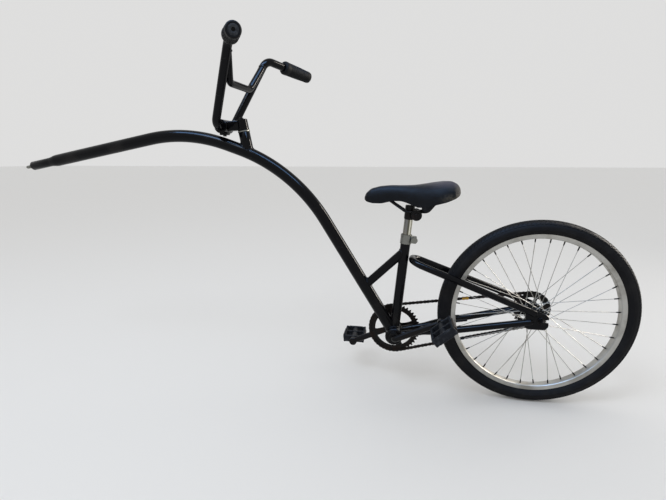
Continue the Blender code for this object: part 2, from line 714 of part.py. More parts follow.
def make_hub_and_spokes():
    """Hub shell with laced spokes and their nipples, one body."""
    bore, half = AXLE_D / 2 + PIN_GAP, HUB_WIDTH / 2
    flange_in, flange_out = FLANGE_SPACING / 2 - FLANGE_THICK / 2, FLANGE_SPACING / 2 + FLANGE_THICK / 2
    barrel = HUB_BARREL_R
    profile = [(bore, half), (barrel - 0.002, half), (barrel - 0.002, flange_out), (FLANGE_R, flange_out),
               (FLANGE_R, flange_in), (barrel, flange_in), (barrel, -flange_in), (FLANGE_R, -flange_in),
               (FLANGE_R, -flange_out), (barrel - 0.002, -flange_out), (barrel - 0.002, -half), (bore, -half),
               (bore, half)]
    hub = moved(turned("hub_and_spokes", profile, 24), TO_Y)
    lacing = bmesh.new()
    for index in range(SPOKES):
        a, b = spoke_ends(index)
        along = (b - a).normalized()
        start, end = a - along * 0.002, b - along * (NIPPLE_LENGTH - 0.001)
        turn = along.to_track_quat("Z", "Y").to_matrix().to_4x4()
        bmesh.ops.create_cone(lacing, cap_ends=True, segments=5, radius1=SPOKE_D / 2, radius2=SPOKE_D / 2,
                              depth=(end - start).length, matrix=Matrix.Translation((start + end) / 2) @ turn)
    mesh = bpy.data.meshes.new("spoke_lacing")
    lacing.to_mesh(mesh)
    lacing.free()
    spokes = bpy.data.objects.new("spoke_lacing", mesh)
    boolean(hub, spokes, "UNION")
    nipples = bmesh.new()
    for index in range(SPOKES):
        a, b = spoke_ends(index)
        along = (b - a).normalized()
        start = b - along * NIPPLE_LENGTH
        turn = along.to_track_quat("Z", "Y").to_matrix().to_4x4()
        bmesh.ops.create_cone(nipples, cap_ends=True, segments=5, radius1=NIPPLE_D / 2 - 0.0006,
                              radius2=NIPPLE_D / 2, depth=NIPPLE_LENGTH,
                              matrix=Matrix.Translation((start + b) / 2) @ turn)
    mesh = bpy.data.meshes.new("nipple_set")
    nipples.to_mesh(mesh)
    nipples.free()
    boolean(hub, bpy.data.objects.new("nipple_set", mesh), "UNION")
    hub.location = AXLE
    spokes.location = AXLE
    bpy.data.objects["nipple_set"].location = AXLE
    link(merge_flat(hub), ALLOY)


# Chain drive

def pitch_radius(teeth):
    return CHAIN_PITCH / (2 * math.sin(math.pi / teeth))


def toothed_outline(teeth):
    """Tooth tips and rounded roots around a sprocket."""
    r = pitch_radius(teeth)
    tip, root = r + 0.0036, r - 0.0032
    step = math.tau / teeth
    marks = ((-0.14, tip), (0.14, tip), (0.5, root))
    return [(radius * math.cos((i + share) * step), radius * math.sin((i + share) * step))
            for i in range(teeth) for share, radius in marks]


def window(inner_r, outer_r, arm_half, from_angle, to_angle, steps=6):
    """Outline of the opening between two arms of even width."""
    def edge(radius, angle, sign):
        return angle + sign * math.asin(arm_half / radius)
    a0, a1 = edge(outer_r, from_angle, 1), edge(outer_r, to_angle, -1)
    b0, b1 = edge(inner_r, from_angle, 1), edge(inner_r, to_angle, -1)
    outer = [(outer_r, a0 + (a1 - a0) * i / steps) for i in range(steps + 1)]
    inner = [(inner_r, b1 + (b0 - b1) * i / 2) for i in range(3)]
    return [(r * math.cos(a), r * math.sin(a)) for r, a in outer + inner]


def windows(inner_r, outer_r, arms, arm_width, lead):
    step = math.tau / arms
    return [window(inner_r, outer_r, arm_width / 2, lead + k * step, lead + (k + 1) * step) for k in range(arms)]


def make_chainring():
    lead = math.radians(CRANK_ANGLE + 180 + RING_ARM_LEAD)
    inner_band = pitch_radius(CHAINRING_TEETH) - RING_BAND
    holes = windows(RING_HUB_R, inner_band, RING_ARMS, RING_ARM_WIDTH, lead)
    bore = circle(CRANK_D / 2 + SEAT_GAP, 24)
    ring = plate("chainring", [toothed_outline(CHAINRING_TEETH)] + holes + [bore], TOOTH_THICK)
    moved(ring, Matrix.Translation((0, CHAINLINE, 0)))
    ring.location = BB
    link(ring, RUST)


def make_freewheel():
    bore = HUB_BARREL_R - 0.002 + SEAT_GAP
    inner_band = pitch_radius(SPROCKET_TEETH) - COG_BAND
    body_r = FREEWHEEL_R
    holes = windows(body_r, inner_band, COG_ARMS, COG_ARM_WIDTH, math.radians(COG_ARM_LEAD))
    cog = plate("freewheel", [toothed_outline(SPROCKET_TEETH)] + holes + [circle(bore, 24)], TOOTH_THICK)
    moved(cog, Matrix.Translation((0, CHAINLINE, 0)))
    low = FLANGE_SPACING / 2 + FLANGE_THICK / 2 + SPOKE_D + 0.0015
    body = turned("freewheel_body", ring_profile(bore, body_r - 0.001, low, low + FREEWHEEL_WIDTH), 20)
    boolean(cog, moved(body, TO_Y), "UNION")
    cog.location = AXLE
    body.location = AXLE
    link(merge_flat(cog), RUST)


def chain_route():
    """Pin positions around both sprockets as (point, outward normal), evenly spaced."""
    big, small = pitch_radius(CHAINRING_TEETH), pitch_radius(SPROCKET_TEETH)
    span = AXLE - BB
    gap = span.length
    line = math.atan2(span.z, span.x)
    lean = math.acos((big - small) / gap)
    run = math.sqrt(gap ** 2 - (big - small) ** 2)
    arc_big, arc_small = big * (math.tau - 2 * lean), small * 2 * lean
    total = 2 * run + arc_big + arc_small
    links = round(total / CHAIN_PITCH)
    for i in range(links):
        s = total * i / links
        if s < run:                                   # upper run, rearward
            start = BB + direction(math.degrees(line + lean)) * big
            normal = direction(math.degrees(line + lean))
            point = start + direction(math.degrees(line + lean) - 90) * s
        elif s < run + arc_small:                     # around the freewheel
            normal = direction(math.degrees(line + lean - (s - run) / small))
            point = AXLE + normal * small
        elif s < 2 * run + arc_small:                 # lower run, forward
            normal = direction(math.degrees(line - lean))
            start = AXLE + normal * small
            point = start + direction(math.degrees(line - lean) - 90) * (s - run - arc_small)
        else:                                         # around the chainring
            normal = direction(math.degrees(line - lean - (s - 2 * run - arc_small) / big))
            point = BB + normal * big
        yield i, point, normal


def make_chain():
    """One closed loop: two rows of link plates, with a roller at every second pin of the free runs."""
    outer, inner, rollers = [], [], []
    clear = 0.0036 + ROLLER_D / 2 + 0.0012
    for i, point, normal in chain_route():
        for sign, outline in ((1, outer), (-1, inner)):
            edge = point + normal * sign * CHAIN_PLATE_HEIGHT / 2
            outline.append((edge.x, edge.z))
        free = (min((point - BB).length - pitch_radius(CHAINRING_TEETH),
                    (point - AXLE).length - pitch_radius(SPROCKET_TEETH)) > clear)
        if i % 2 == 0 and free:
            rollers.append(point)
    offset = CHAIN_INNER_WIDTH / 2 + CHAIN_PLATE_THICK / 2
    rows = [moved(plate("chain_row_" + side, [outer, inner], CHAIN_PLATE_THICK),
                  Matrix.Translation((0, CHAINLINE + sign * offset, 0))) for side, sign in SIDES]
    set_mesh = bmesh.new()
    for point in rollers:
        bmesh.ops.create_cone(set_mesh, cap_ends=True, segments=4, radius1=ROLLER_D / 2, radius2=ROLLER_D / 2,
                              depth=CHAIN_INNER_WIDTH + CHAIN_PLATE_THICK,
                              matrix=Matrix.Translation(point + Y_AXIS * CHAINLINE) @ TO_Y)
    mesh = bpy.data.meshes.new("chain_rollers")
    set_mesh.to_mesh(mesh)
    set_mesh.free()
    chain = rows[0]
    chain.name = "chain"
    boolean(chain, rows[1], "UNION")
    boolean(chain, bpy.data.objects.new("chain_rollers", mesh), "UNION")
    link(merge_flat(chain), RUST)


# Crank and pedals

def crank_arm_direction(sign):
    """The left arm points rearward and up, the right arm opposite."""
    return direction(CRANK_ANGLE + (180 if sign > 0 else 0))


def crank_eye(sign):
    return BB + crank_arm_direction(sign) * CRANK_LENGTH + Y_AXIS * sign * CRANK_TREAD


def make_crank():
    """One-piece crank: a rod bent into spindle and two arms, with an eye at each end."""
    shoulder = CRANK_SHOULDER
    corners = [crank_eye(-1), BB - Y_AXIS * shoulder, BB + Y_AXIS * shoulder, crank_eye(1)]
    path = rounded_path(corners, (CRANK_BEND_R,) * 2, step=15)
    scales = [CRANK_END_TAPER] + [1.0] * (len(path) - 2) + [CRANK_END_TAPER]
    crank = tube("crank", path, CRANK_D / 2, 12, scales)
    inner_lock = BB_SHELL_WIDTH / 2 + CUP_LIP + 0.0006
    # cones close the left bearing, and clamp the chainring on the right
    locks = [("left", BB - Y_AXIS * (inner_lock + 0.008), BB - Y_AXIS * inner_lock),
             ("right", BB + Y_AXIS * (CHAINLINE - TOOTH_THICK / 2 - SEAT_GAP), BB + Y_AXIS * inner_lock)]
    for side, a, b in locks:
        boolean(crank, rod("crank_cone_" + side, a, b, CONE_R, 20), "UNION")
    for side, sign in SIDES:
        eye, half = crank_eye(sign), Y_AXIS * CRANK_EYE_THICK / 2
        boolean(crank, rod("crank_eye_" + side, eye - half, eye + half, CRANK_EYE_D / 2, 20), "UNION")
    for side, sign in SIDES:
        eye, half = crank_eye(sign), Y_AXIS * CRANK_EYE_THICK
        boolean(crank, rod("crank_thread_" + side, eye - half, eye + half, PEDAL_THREAD_D / 2 + SEAT_GAP, 16))
    link(merge_flat(pivot(crank, BB)), BLACK_STEEL)


def pedal_span():
    """Distances along the pedal axle from the eye's centre: shoulder, body's start and end."""
    shoulder = CRANK_EYE_THICK / 2 + SEAT_GAP
    start = shoulder + PEDAL_SHOULDER
    return shoulder, start, start + PEDAL_WIDTH


def make_pedal_axles():
    shoulder, start, end = pedal_span()
    r, thread = PEDAL_AXLE_D / 2, PEDAL_THREAD_D / 2
    profile = [(0.0001, end - 0.012), (r, end - 0.012), (r, start - 0.002), (0.0095, start - 0.002),
               (0.0095, shoulder), (thread, shoulder), (thread, -CRANK_EYE_THICK / 2), (0.0001, -CRANK_EYE_THICK / 2)]
    for side, sign in SIDES:
        axle = close_axis(turned("pedal_axle_" + side, profile, 16))
        facing = TO_Y if sign > 0 else Matrix.Rotation(math.radians(90), 4, "X")
        link(pivot(moved(axle, Matrix.Translation(crank_eye(sign)) @ facing), BB), ZINC)


def make_pedals():
    """Moulded platform: frame around four pockets, barrel on the axle, a reflector at each edge."""
    shoulder, start, end = pedal_span()
    length, thick = PEDAL_LENGTH, PEDAL_THICK
    bore = PEDAL_AXLE_D / 2 + PIN_GAP
    for side, sign in SIDES:
        middle = Vector((0, sign * (start + end) / 2, 0))
        body = box("pedal_" + side, (length, PEDAL_WIDTH, thick), middle)
        bevel = body.modifiers.new("edges", "BEVEL")
        bevel.width = 0.004
        bevel.segments = 2
        pocket_x = length / 2 - PEDAL_RAIL - PEDAL_BARREL_D / 2
        pocket_y = (PEDAL_WIDTH - 2 * PEDAL_RAIL - PEDAL_RIB) / 2
        extra = []
        for fore in (-1, 1):
            for out in (-1, 1):
                centre = middle + Vector((fore * (PEDAL_BARREL_D / 2 + pocket_x / 2),
                                          out * (PEDAL_RIB + pocket_y) / 2, 0))
                extra.append(box("pedal_pocket", (pocket_x, pocket_y, 2 * thick), centre))
        axle_hole = rod("pedal_bore_" + side, Y_AXIS * sign * (start - 0.01), Y_AXIS * sign * (end - 0.0115),
                        bore, 20)
        extra.append(axle_hole)
        for cutter in extra:
            boolean(body, cutter)
        reflector_sets = []
        for fore in (-1, 1):
            size = REFLECTOR_SIZE
            centre = middle + Vector((fore * (length / 2 + size[0] / 2 - 0.0005), 0, 0))
            reflector_sets.append(box("pedal_reflector", size, centre))
        for reflector in reflector_sets:
            boolean(body, reflector, "UNION")
        place = Matrix.Translation(crank_eye(sign)) @ Matrix.Rotation(-math.radians(PEDAL_TILTS[side]), 4, "Y")
        body.matrix_world = place
        for other in extra + reflector_sets:
            other.matrix_world = place
        link(body, PLASTIC, smooth=False)


# Seat

def make_seat_clamp():
    top = BB + SEAT_AXIS * SEAT_TUBE_LENGTH
    low = top - SEAT_AXIS * (CLAMP_HEIGHT - 0.002)
    high = top + SEAT_AXIS * 0.002
    inner, outer = SEAT_TUBE_D / 2 + SEAT_GAP, SEAT_TUBE_D / 2 + CLAMP_WALL
    clamp = rod("seat_clamp", low, high, outer, 20)
    rearward = Vector((SEAT_AXIS.z, 0, -SEAT_AXIS.x))
    lean = Matrix.Rotation(math.radians(SEAT_TUBE_ANGLE), 4, "Y")
    bolt_at = (low + high) / 2 + rearward * CLAMP_BOLT_REACH
    ear_centre = bolt_at + rearward * (CLAMP_BOLT_D - CLAMP_EAR[0] / 2)
    boolean(clamp, box("seat_clamp_ear", CLAMP_EAR, ear_centre, lean), "UNION")
    boolean(clamp, rod("seat_clamp_bore", low - SEAT_AXIS * 0.01, high + SEAT_AXIS * 0.01, inner, 24))
    slit = box("seat_clamp_slit", (2 * CLAMP_EAR[0], CLAMP_SLIT, 2 * CLAMP_HEIGHT),
               (low + high) / 2 + rearward * (inner - 0.001 + CLAMP_EAR[0]), lean)
    boolean(clamp, slit)
    reach = Y_AXIS * (CLAMP_EAR[1] / 2 + SEAT_GAP)
    boolean(clamp, rod("seat_clamp_hole", bolt_at - 2 * reach, bolt_at + 2 * reach,
                       CLAMP_BOLT_D / 2 + SEAT_GAP, 16))
    link(merge_flat(clamp), ZINC)
    head = Y_AXIS * CLAMP_BOLT_HEAD
    bolt = rod("seat_clamp_bolt", bolt_at - reach - head, bolt_at - reach, CLAMP_BOLT_HEAD_D / 2, 20)
    boolean(bolt, rod("seat_clamp_shank", bolt_at - reach - head / 4, bolt_at + reach + head / 4,
                      CLAMP_BOLT_D / 2, 16), "UNION")
    boolean(bolt, rod("seat_clamp_nut", bolt_at + reach, bolt_at + reach + head,
                      CLAMP_BOLT_HEAD_D / 2 * 0.7, 6), "UNION")
    link(bolt, ZINC)


def post_top():
    return BB + SEAT_AXIS * (SEAT_TUBE_LENGTH + POST_SHOWN)


def make_seat_post():
    base = BB + SEAT_AXIS * (SEAT_TUBE_LENGTH - POST_INSIDE)
    post = rod("seat_post", base, post_top(), POST_D / 2, 20)
    link(post, CHROME)


def make_saddle_clamp():
    """Barrel over the post's narrow top, with the cross bolt whose round discs grip both rails."""
    low = post_top() + SEAT_AXIS * SEAT_GAP
    clamp = rod("saddle_clamp", low, low + SEAT_AXIS * GUTS_HEIGHT, POST_D / 2 + GUTS_WALL, 24)
    cross = cross_bolt_point()
    for name, half, diameter, sides in (("disc", GUTS_DISC_HALF, GUTS_DISC_D, 24),
                                        ("bolt", GUTS_BOLT_HALF, GUTS_BOLT_D, 6)):
        boolean(clamp, rod("saddle_clamp_" + name, cross - Y_AXIS * half, cross + Y_AXIS * half,
                           diameter / 2, sides), "UNION")
    boolean(clamp, rail_tube("saddle_clamp_rail_cut", RAIL_D / 2 + SEAT_GAP))
    link(merge_flat(clamp), BLACK_STEEL)


def cross_bolt_point():
    return post_top() + SEAT_AXIS * GUTS_BOLT_RISE + Vector((GUTS_BOLT_BACK, 0, 0))


def saddle_point(share, height):
    """A point in the saddle's own frame: share of its length from the nose, height above its top line."""
    tilt, x = math.radians(SADDLE_PITCH), share * SADDLE_LENGTH
    return post_top() + Vector((x * math.cos(tilt) - height * math.sin(tilt) - SADDLE_AHEAD, 0,
                                x * math.sin(tilt) + height * math.cos(tilt) + SADDLE_RISE))


def rail_corners(sign):
    """One side's rail: rear end in the pan, both ends of its level stretch, and the nose."""
    cross = cross_bolt_point() + Vector((0, 0, RAIL_RISE))
    nose, rear = (saddle_point(share, -depth) for share, depth in zip(RAIL_SHARES, RAIL_DEPTHS))
    return [rear + Y_AXIS * sign * RAIL_REAR_HALF, cross + Vector((RAIL_REAR, sign * RAIL_HALF, 0)),
            cross + Vector((-RAIL_FRONT, sign * RAIL_HALF, 0)), nose + Y_AXIS * sign * RAIL_NOSE_HALF]


def rail_tube(name, radius):
    """One bent wire: round the nose, along both sides of the clamp and up to the rear."""
    corners = rail_corners(-1) + rail_corners(1)[::-1]
    wide, tight = RAIL_BEND_R, RAIL_NOSE_HALF * 0.65
    return tube(name, rounded_path(corners, (wide, wide, tight, tight, wide, wide), step=25), radius, 8)


def make_saddle_rails():
    link(rail_tube("saddle_rails", RAIL_D / 2), BLACK_STEEL)


# shares of the length and of the half width; top and skirt heights above the top line, in SADDLE_DEPTH
SADDLE_SECTIONS = (
    (0.000, 0.10, -0.28, -0.36),
    (0.020, 0.20, -0.16, -0.42),
    (0.080, 0.26, -0.03, -0.48),
    (0.180, 0.29, 0.02, -0.51),
    (0.300, 0.32, 0.02, -0.46),
    (0.400, 0.38, -0.01, -0.48),
    (0.480, 0.48, -0.03, -0.58),
    (0.560, 0.62, -0.04, -0.70),
    (0.640, 0.79, -0.03, -0.71),
    (0.740, 0.93, -0.01, -0.64),
    (0.850, 1.00, 0.00, -0.58),
    (0.940, 0.92, -0.03, -0.50),
    (0.985, 0.76, -0.11, -0.43),
    (1.000, 0.60, -0.19, -0.36),
)
SECTION_ARC = (0, 18, 36, 54, 72, 90, 108, 126, 144, 162, 180)


def saddle_loft(name, inset=0.0, roof_drop=None, floor_drop=0.0):
    """Closed loft over the saddle's sections. Without a roof drop it is the cover's outer form;
    with one it follows the pad's underside that far down, and it may run on below the skirt."""
    bm = bmesh.new()
    loops = []
    for share, half, top, skirt in SADDLE_SECTIONS:
        half = half * SADDLE_WIDTH / 2 - inset
        top, skirt = top * SADDLE_DEPTH, skirt * SADDLE_DEPTH
        if roof_drop is not None:
            top = max(top - PAD_THICK, skirt + PAN_EDGE) - roof_drop
        share = (inset + share * (SADDLE_LENGTH - 2 * inset)) / SADDLE_LENGTH
        profile = []
        for degrees in SECTION_ARC:
            a = math.radians(degrees)
            y = -half * math.copysign(abs(math.cos(a)) ** 0.72, math.cos(a))
            profile.append((y, skirt + (top - skirt) * math.sin(a) ** 0.62))
        if floor_drop:
            profile = [(-half, skirt - floor_drop)] + profile + [(half, skirt - floor_drop)]
        loop = []
        for y, height in profile:
            point = saddle_point(share, height)
            loop.append(bm.verts.new((point.x, y, point.z)))
        loops.append(loop)
    count = len(loops[0])
    for one, two in zip(loops, loops[1:]):
        for k in range(count):
            bm.faces.new((one[k], one[(k + 1) % count], two[(k + 1) % count], two[k]))
    bm.faces.new(loops[0][::-1])
    bm.faces.new(loops[-1])
    bmesh.ops.recalc_face_normals(bm, faces=bm.faces)
    # the same diagonals in nested lofts keep their walls from crossing
    bmesh.ops.triangulate(bm, faces=[f for f in bm.faces if len(f.verts) == 4], quad_method="FIXED")
    mesh = bpy.data.meshes.new(name)
    bm.to_mesh(mesh)
    bm.free()
    obj = bpy.data.objects.new(name, mesh)
    parts.objects.link(obj)
    return obj


def rail_sockets():
    """Moulded blocks under the pan: one on each rail's rise, and one around the nose bend."""
    sockets = []
    for side, sign in SIDES:
        rear, bend = rail_corners(sign)[:2]
        run = Vector((rear.x - bend.x, rear.y - bend.y, 0))
        outline = [(-SOCKET_FRONT, 0), (0, 0), (run.length, rear.z - bend.z),
                   (run.length, 2 * (rear.z - bend.z)), (-SOCKET_FRONT, 2 * (rear.z - bend.z))]
        turn = Matrix.Rotation(math.atan2(run.y, run.x), 4, "Z")
        sockets.append(moved(plate("rail_socket_" + side, [outline], SOCKET_WIDTH), Matrix.Translation(bend) @ turn))
    nose = saddle_point(RAIL_SHARES[0], -RAIL_DEPTHS[0])
    sockets.append(box("rail_socket_nose", NOSE_SOCKET, nose + Vector((0, 0, NOSE_SOCKET[2] / 4))))
    return sockets


def make_saddle():
    """Padded cover over a moulded pan with the sockets that carry the rails."""
    below = 0.06
    cover = saddle_loft("saddle_cover")
    boolean(cover, saddle_loft("saddle_hollow", COVER_WALL, 0.0, below))
    link(cover, VINYL)
    pan = saddle_loft("saddle_pan", COVER_WALL + SEAT_GAP, PAN_ROOF_GAP)
    boolean(pan, saddle_loft("saddle_pan_hollow", COVER_WALL + PAN_WALL, PAN_WALL, below))
    for socket in rail_sockets():
        boolean(socket, saddle_loft(socket.name + "_trim", COVER_WALL + PAN_WALL / 2, PAN_WALL / 2, below), "INTERSECT")
        boolean(pan, socket, "UNION")
    boolean(pan, rail_tube("saddle_pan_rail_cut", RAIL_D / 2 + SEAT_GAP))
    link(pan, PLASTIC)


# Handlebar

def head_base():
    """Where the head tube's axis meets the boom's centre line."""
    corners = boom_corners()
    path = rounded_path(corners, BOOM_BEND_R, step=BOOM_STEP)
    for a, b in zip(path, path[1:]):
        if a.x <= HEAD_FROM_HITCH <= b.x:
            return a.lerp(b, (HEAD_FROM_HITCH - a.x) / (b.x - a.x))


def make_head():
    base = head_base()
    top = base + HEAD_AXIS * HEAD_LENGTH
    head = rod("head_tube", base, top, HEAD_D / 2, 20)
    boolean(head, boom_tube("head_boom_cut", BOOM_D / 2 + SEAT_GAP))
    link(head, BLACK_PAINT)
    low = top + HEAD_AXIS * SEAT_GAP
    link(rod("head_ring", low, low + HEAD_AXIS * RING_HEIGHT, HEAD_D / 2 + RING_LIP, 20), ZINC)


def stem_base():
    return head_base() + HEAD_AXIS * (HEAD_LENGTH + RING_HEIGHT + 2 * SEAT_GAP)


def bar_centre():
    return stem_base() + HEAD_AXIS * STEM_HEIGHT / 2 - Vector((STEM_REACH, 0, STEM_DROP))


def steering_yaw():
    """Turn about the head tube that the bar has in the photographed rest."""
    pivot_at = stem_base()
    return (Matrix.Translation(pivot_at) @ Matrix.Rotation(math.radians(BAR_YAW), 4, HEAD_AXIS)
            @ Matrix.Translation(-pivot_at))


def bar_point(offset, y):
    return bar_centre() + Vector((offset[0], y, offset[1]))


def bar_corners():
    half = [bar_point(BAR_END, BAR_END_HALF), bar_point(BAR_TOP, BAR_TOP_HALF),
            bar_point((0, 0), BAR_CENTRE_HALF)]
    mirrored = [Vector((p.x, -p.y, p.z)) for p in half]
    return half + mirrored[::-1]


def bar_tube(name, radius, sides=12):
    return tube(name, rounded_path(bar_corners(), (BAR_BEND_R,) * 4, step=18), radius, sides)


def make_stem():
    base = stem_base()
    top = base + HEAD_AXIS * STEM_HEIGHT
    stem = rod("stem", base, top, HEAD_D / 2, 20)
    front = bar_centre()
    middle = (base + top) / 2
    arm = box("stem_arm", ((middle - front).length, *STEM_ARM), (middle + front) / 2,
              (middle - front).to_track_quat("X", "Z").to_matrix().to_4x4())
    boolean(stem, arm, "UNION")
    reach = Y_AXIS * STEM_BARREL_WIDTH / 2
    boolean(stem, rod("stem_barrel", front - reach, front + reach, STEM_BARREL_D / 2, 20), "UNION")
    lug_at = front - Vector((0, 0, STEM_BARREL_D / 2))
    boolean(stem, box("stem_lug", STEM_LUG, lug_at), "UNION")
    boolean(stem, bar_tube("stem_bar_cut", BAR_D / 2 + SEAT_GAP))
    link(stem, BLACK_PAINT)
    bolt = rod("stem_bolt", top + HEAD_AXIS * SEAT_GAP, top + HEAD_AXIS * QUILL_BOLT_HEAD, QUILL_BOLT_R, 6)
    link(bolt, BLACK_STEEL)
    pinch_at = lug_at - Vector((0, 0, STEM_LUG[2] / 2 + SEAT_GAP))
    pinch = rod("stem_pinch_bolt", pinch_at - Vector((0, 0, PINCH_BOLT_HEAD)), pinch_at, PINCH_BOLT_R, 6)
    link(pinch, BLACK_STEEL)
    return stem, bolt, pinch


def make_handlebar():
    bar = link(bar_tube("handlebar", BAR_D / 2), BLACK_PAINT)
    seat = [bar_point((0, 0), BAR_CENTRE_HALF).lerp(bar_point(BAR_TOP, BAR_TOP_HALF), BRACE_SEAT)]
    half = seat + [bar_point(BRACE_CORNER, BRACE_CORNER_HALF)]
    corners = half + [Vector((p.x, -p.y, p.z)) for p in half[::-1]]
    brace = tube("handlebar_brace", rounded_path(corners, (BRACE_BEND_R,) * 2, step=18), BRACE_D / 2, 12)
    boolean(brace, bar_tube("brace_bar_cut", BAR_D / 2 + SEAT_GAP))
    link(brace, BLACK_PAINT)
    pieces = [bar, brace]
    r, flange, bore = GRIP_D / 2, GRIP_FLANGE_D / 2, BAR_D / 2 + SEAT_GAP
    end_wall = GRIP_WALL_END + SEAT_GAP
    hole, waist, inner = GRIP_END_HOLE_R, r - GRIP_WAIST, -GRIP_LENGTH
    profile = [(hole, end_wall), (r - 0.005, end_wall), (r, end_wall - 0.005), (r, -0.014), (waist, -0.034),
               (waist, inner + 2 * GRIP_FLANGE), (flange, inner + GRIP_FLANGE), (flange, inner + 0.005),
               (flange - 0.005, inner), (bore, inner), (bore, SEAT_GAP), (hole, SEAT_GAP), (hole, end_wall)]
    for side, sign in SIDES:
        tip, bend = bar_point(BAR_END, sign * BAR_END_HALF), bar_point(BAR_TOP, sign * BAR_TOP_HALF)
        grip = turned("grip_" + side, profile, 16)
        moved(grip, Matrix.Translation(tip) @ (tip - bend).to_track_quat("Z", "Y").to_matrix().to_4x4())
        pieces.append(link(grip, RUBBER))
    return pieces


def make_steering_group():
    """Everything that the head tube carries, turned together by the bar's small yaw."""
    group = list(make_stem()) + make_handlebar()
    yaw = steering_yaw()
    for obj in group:
        for mod in obj.modifiers:
            if mod.type == "BOOLEAN":
                mod.object.matrix_world = yaw
        obj.matrix_world = yaw


make_boom()
make_hitch_stud()
make_bottom_bracket()
make_seat_tube()
make_gusset()
make_dropouts()
make_seat_stays()
make_chain_stays()
make_axle()
make_tyre()
make_rim()
make_hub_and_spokes()
make_chainring()
make_freewheel()
make_chain()
make_crank()
make_pedal_axles()
make_pedals()
make_seat_clamp()
make_seat_post()
make_saddle_clamp()
make_saddle_rails()
make_saddle()
make_head()
make_steering_group()
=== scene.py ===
"""A child's one-wheeled trailer bicycle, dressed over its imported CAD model.

Metres, in the CAD's frame: +X runs to the rear, the rider's left side faces -Y, +Z is up,
and the origin is the centre of the boom's open mouth.
"""

import bmesh
import bpy
import numpy as np
from mathutils import Matrix


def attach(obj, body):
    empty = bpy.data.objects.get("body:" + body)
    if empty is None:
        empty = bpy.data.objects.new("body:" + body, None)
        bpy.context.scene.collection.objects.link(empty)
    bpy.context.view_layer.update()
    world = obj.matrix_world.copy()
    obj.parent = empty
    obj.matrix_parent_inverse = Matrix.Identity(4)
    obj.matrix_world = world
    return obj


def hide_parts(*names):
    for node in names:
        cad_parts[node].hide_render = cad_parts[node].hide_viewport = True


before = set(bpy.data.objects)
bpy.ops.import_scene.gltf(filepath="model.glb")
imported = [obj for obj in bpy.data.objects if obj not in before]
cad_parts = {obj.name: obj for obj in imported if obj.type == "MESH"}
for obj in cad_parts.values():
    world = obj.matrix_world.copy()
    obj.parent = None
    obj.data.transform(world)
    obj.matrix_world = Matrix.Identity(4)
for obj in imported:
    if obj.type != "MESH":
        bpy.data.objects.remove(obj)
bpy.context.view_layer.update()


# The view: a wide lens 1.3 m to the left of the boom, level with its mouth and looking down a little.
# The three columns of its turn are its right, its up and its back.
link = bpy.context.scene.collection.objects.link
lens = bpy.data.cameras.new("camera")
lens.lens, lens.sensor_width, lens.clip_start = 21.89, 36.0, 0.02
camera = bpy.data.objects.new("camera", lens)
link(camera)
camera.matrix_world = Matrix(((0.98597, -0.0367, 0.16286, 1.3262), (0.16694, 0.21676, -0.96184, -1.3039),
                              (0.0, 0.97553, 0.21985, 0.0254), (0.0, 0.0, 0.0, 1.0)))
bpy.context.scene.camera = camera
bpy.context.scene.view_settings.view_transform = "Standard"


# The room: a pale floor under the tyre that runs out to a plain pale backdrop, cool skylight on everything,
# a soft lamp high on the left as the open sky is, and two strips that only glint in what shines: the sky's
# blue along the tops of the tubes, and a tall warm one far behind.
GROUND, FLOOR_HALF = -0.7577, 40.0


def unit(vector):
    """Vectors scaled to a length of 1."""
    vector = np.asarray(vector, float)
    return vector / np.linalg.norm(vector, axis=-1, keepdims=True)


corners = [(1 + FLOOR_HALF * x, FLOOR_HALF * y, GROUND) for x, y in ((-1, -1), (1, -1), (1, 1), (-1, 1))]
ground = bpy.data.meshes.new("floor")
ground.from_pydata(corners, [], [(0, 1, 2, 3)])
matt = bpy.data.materials.new("floor")
matt.use_nodes = True
matt.node_tree.nodes["Principled BSDF"].inputs["Base Color"].default_value = (0.83, 0.81, 0.775, 1)
matt.node_tree.nodes["Principled BSDF"].inputs["Roughness"].default_value = 0.9
ground.materials.append(matt)
floor = bpy.data.objects.new("floor", ground)
link(floor)

room = bpy.data.worlds.new("room")
room.use_nodes = True
bpy.context.scene.world = room
air = room.node_tree
air.nodes.clear()
rays, mirrored, seen, backdrop, skylight, chosen, out = (
    air.nodes.new("ShaderNode" + kind)
    for kind in ("LightPath", "Math", "Math", "Background", "Background", "MixShader", "OutputWorld"))
mirrored.operation = seen.operation = "MAXIMUM"
for shade, colour, strength in ((backdrop, (0.735, 0.733, 0.729, 1), 1.0), (skylight, (0.95, 0.97, 1.0, 1), 0.8)):
    shade.inputs["Color"].default_value, shade.inputs["Strength"].default_value = colour, strength
for source, target in ((rays.outputs["Is Camera Ray"], seen.inputs[0]), (mirrored.outputs[0], seen.inputs[1]),
                       (rays.outputs["Is Glossy Ray"], mirrored.inputs[0]),
                       (rays.outputs["Is Transmission Ray"], mirrored.inputs[1]),
                       (seen.outputs[0], chosen.inputs[0]), (skylight.outputs[0], chosen.inputs[1]),
                       (backdrop.outputs[0], chosen.inputs[2]), (chosen.outputs[0], out.inputs["Surface"])):
    air.links.new(source, target)

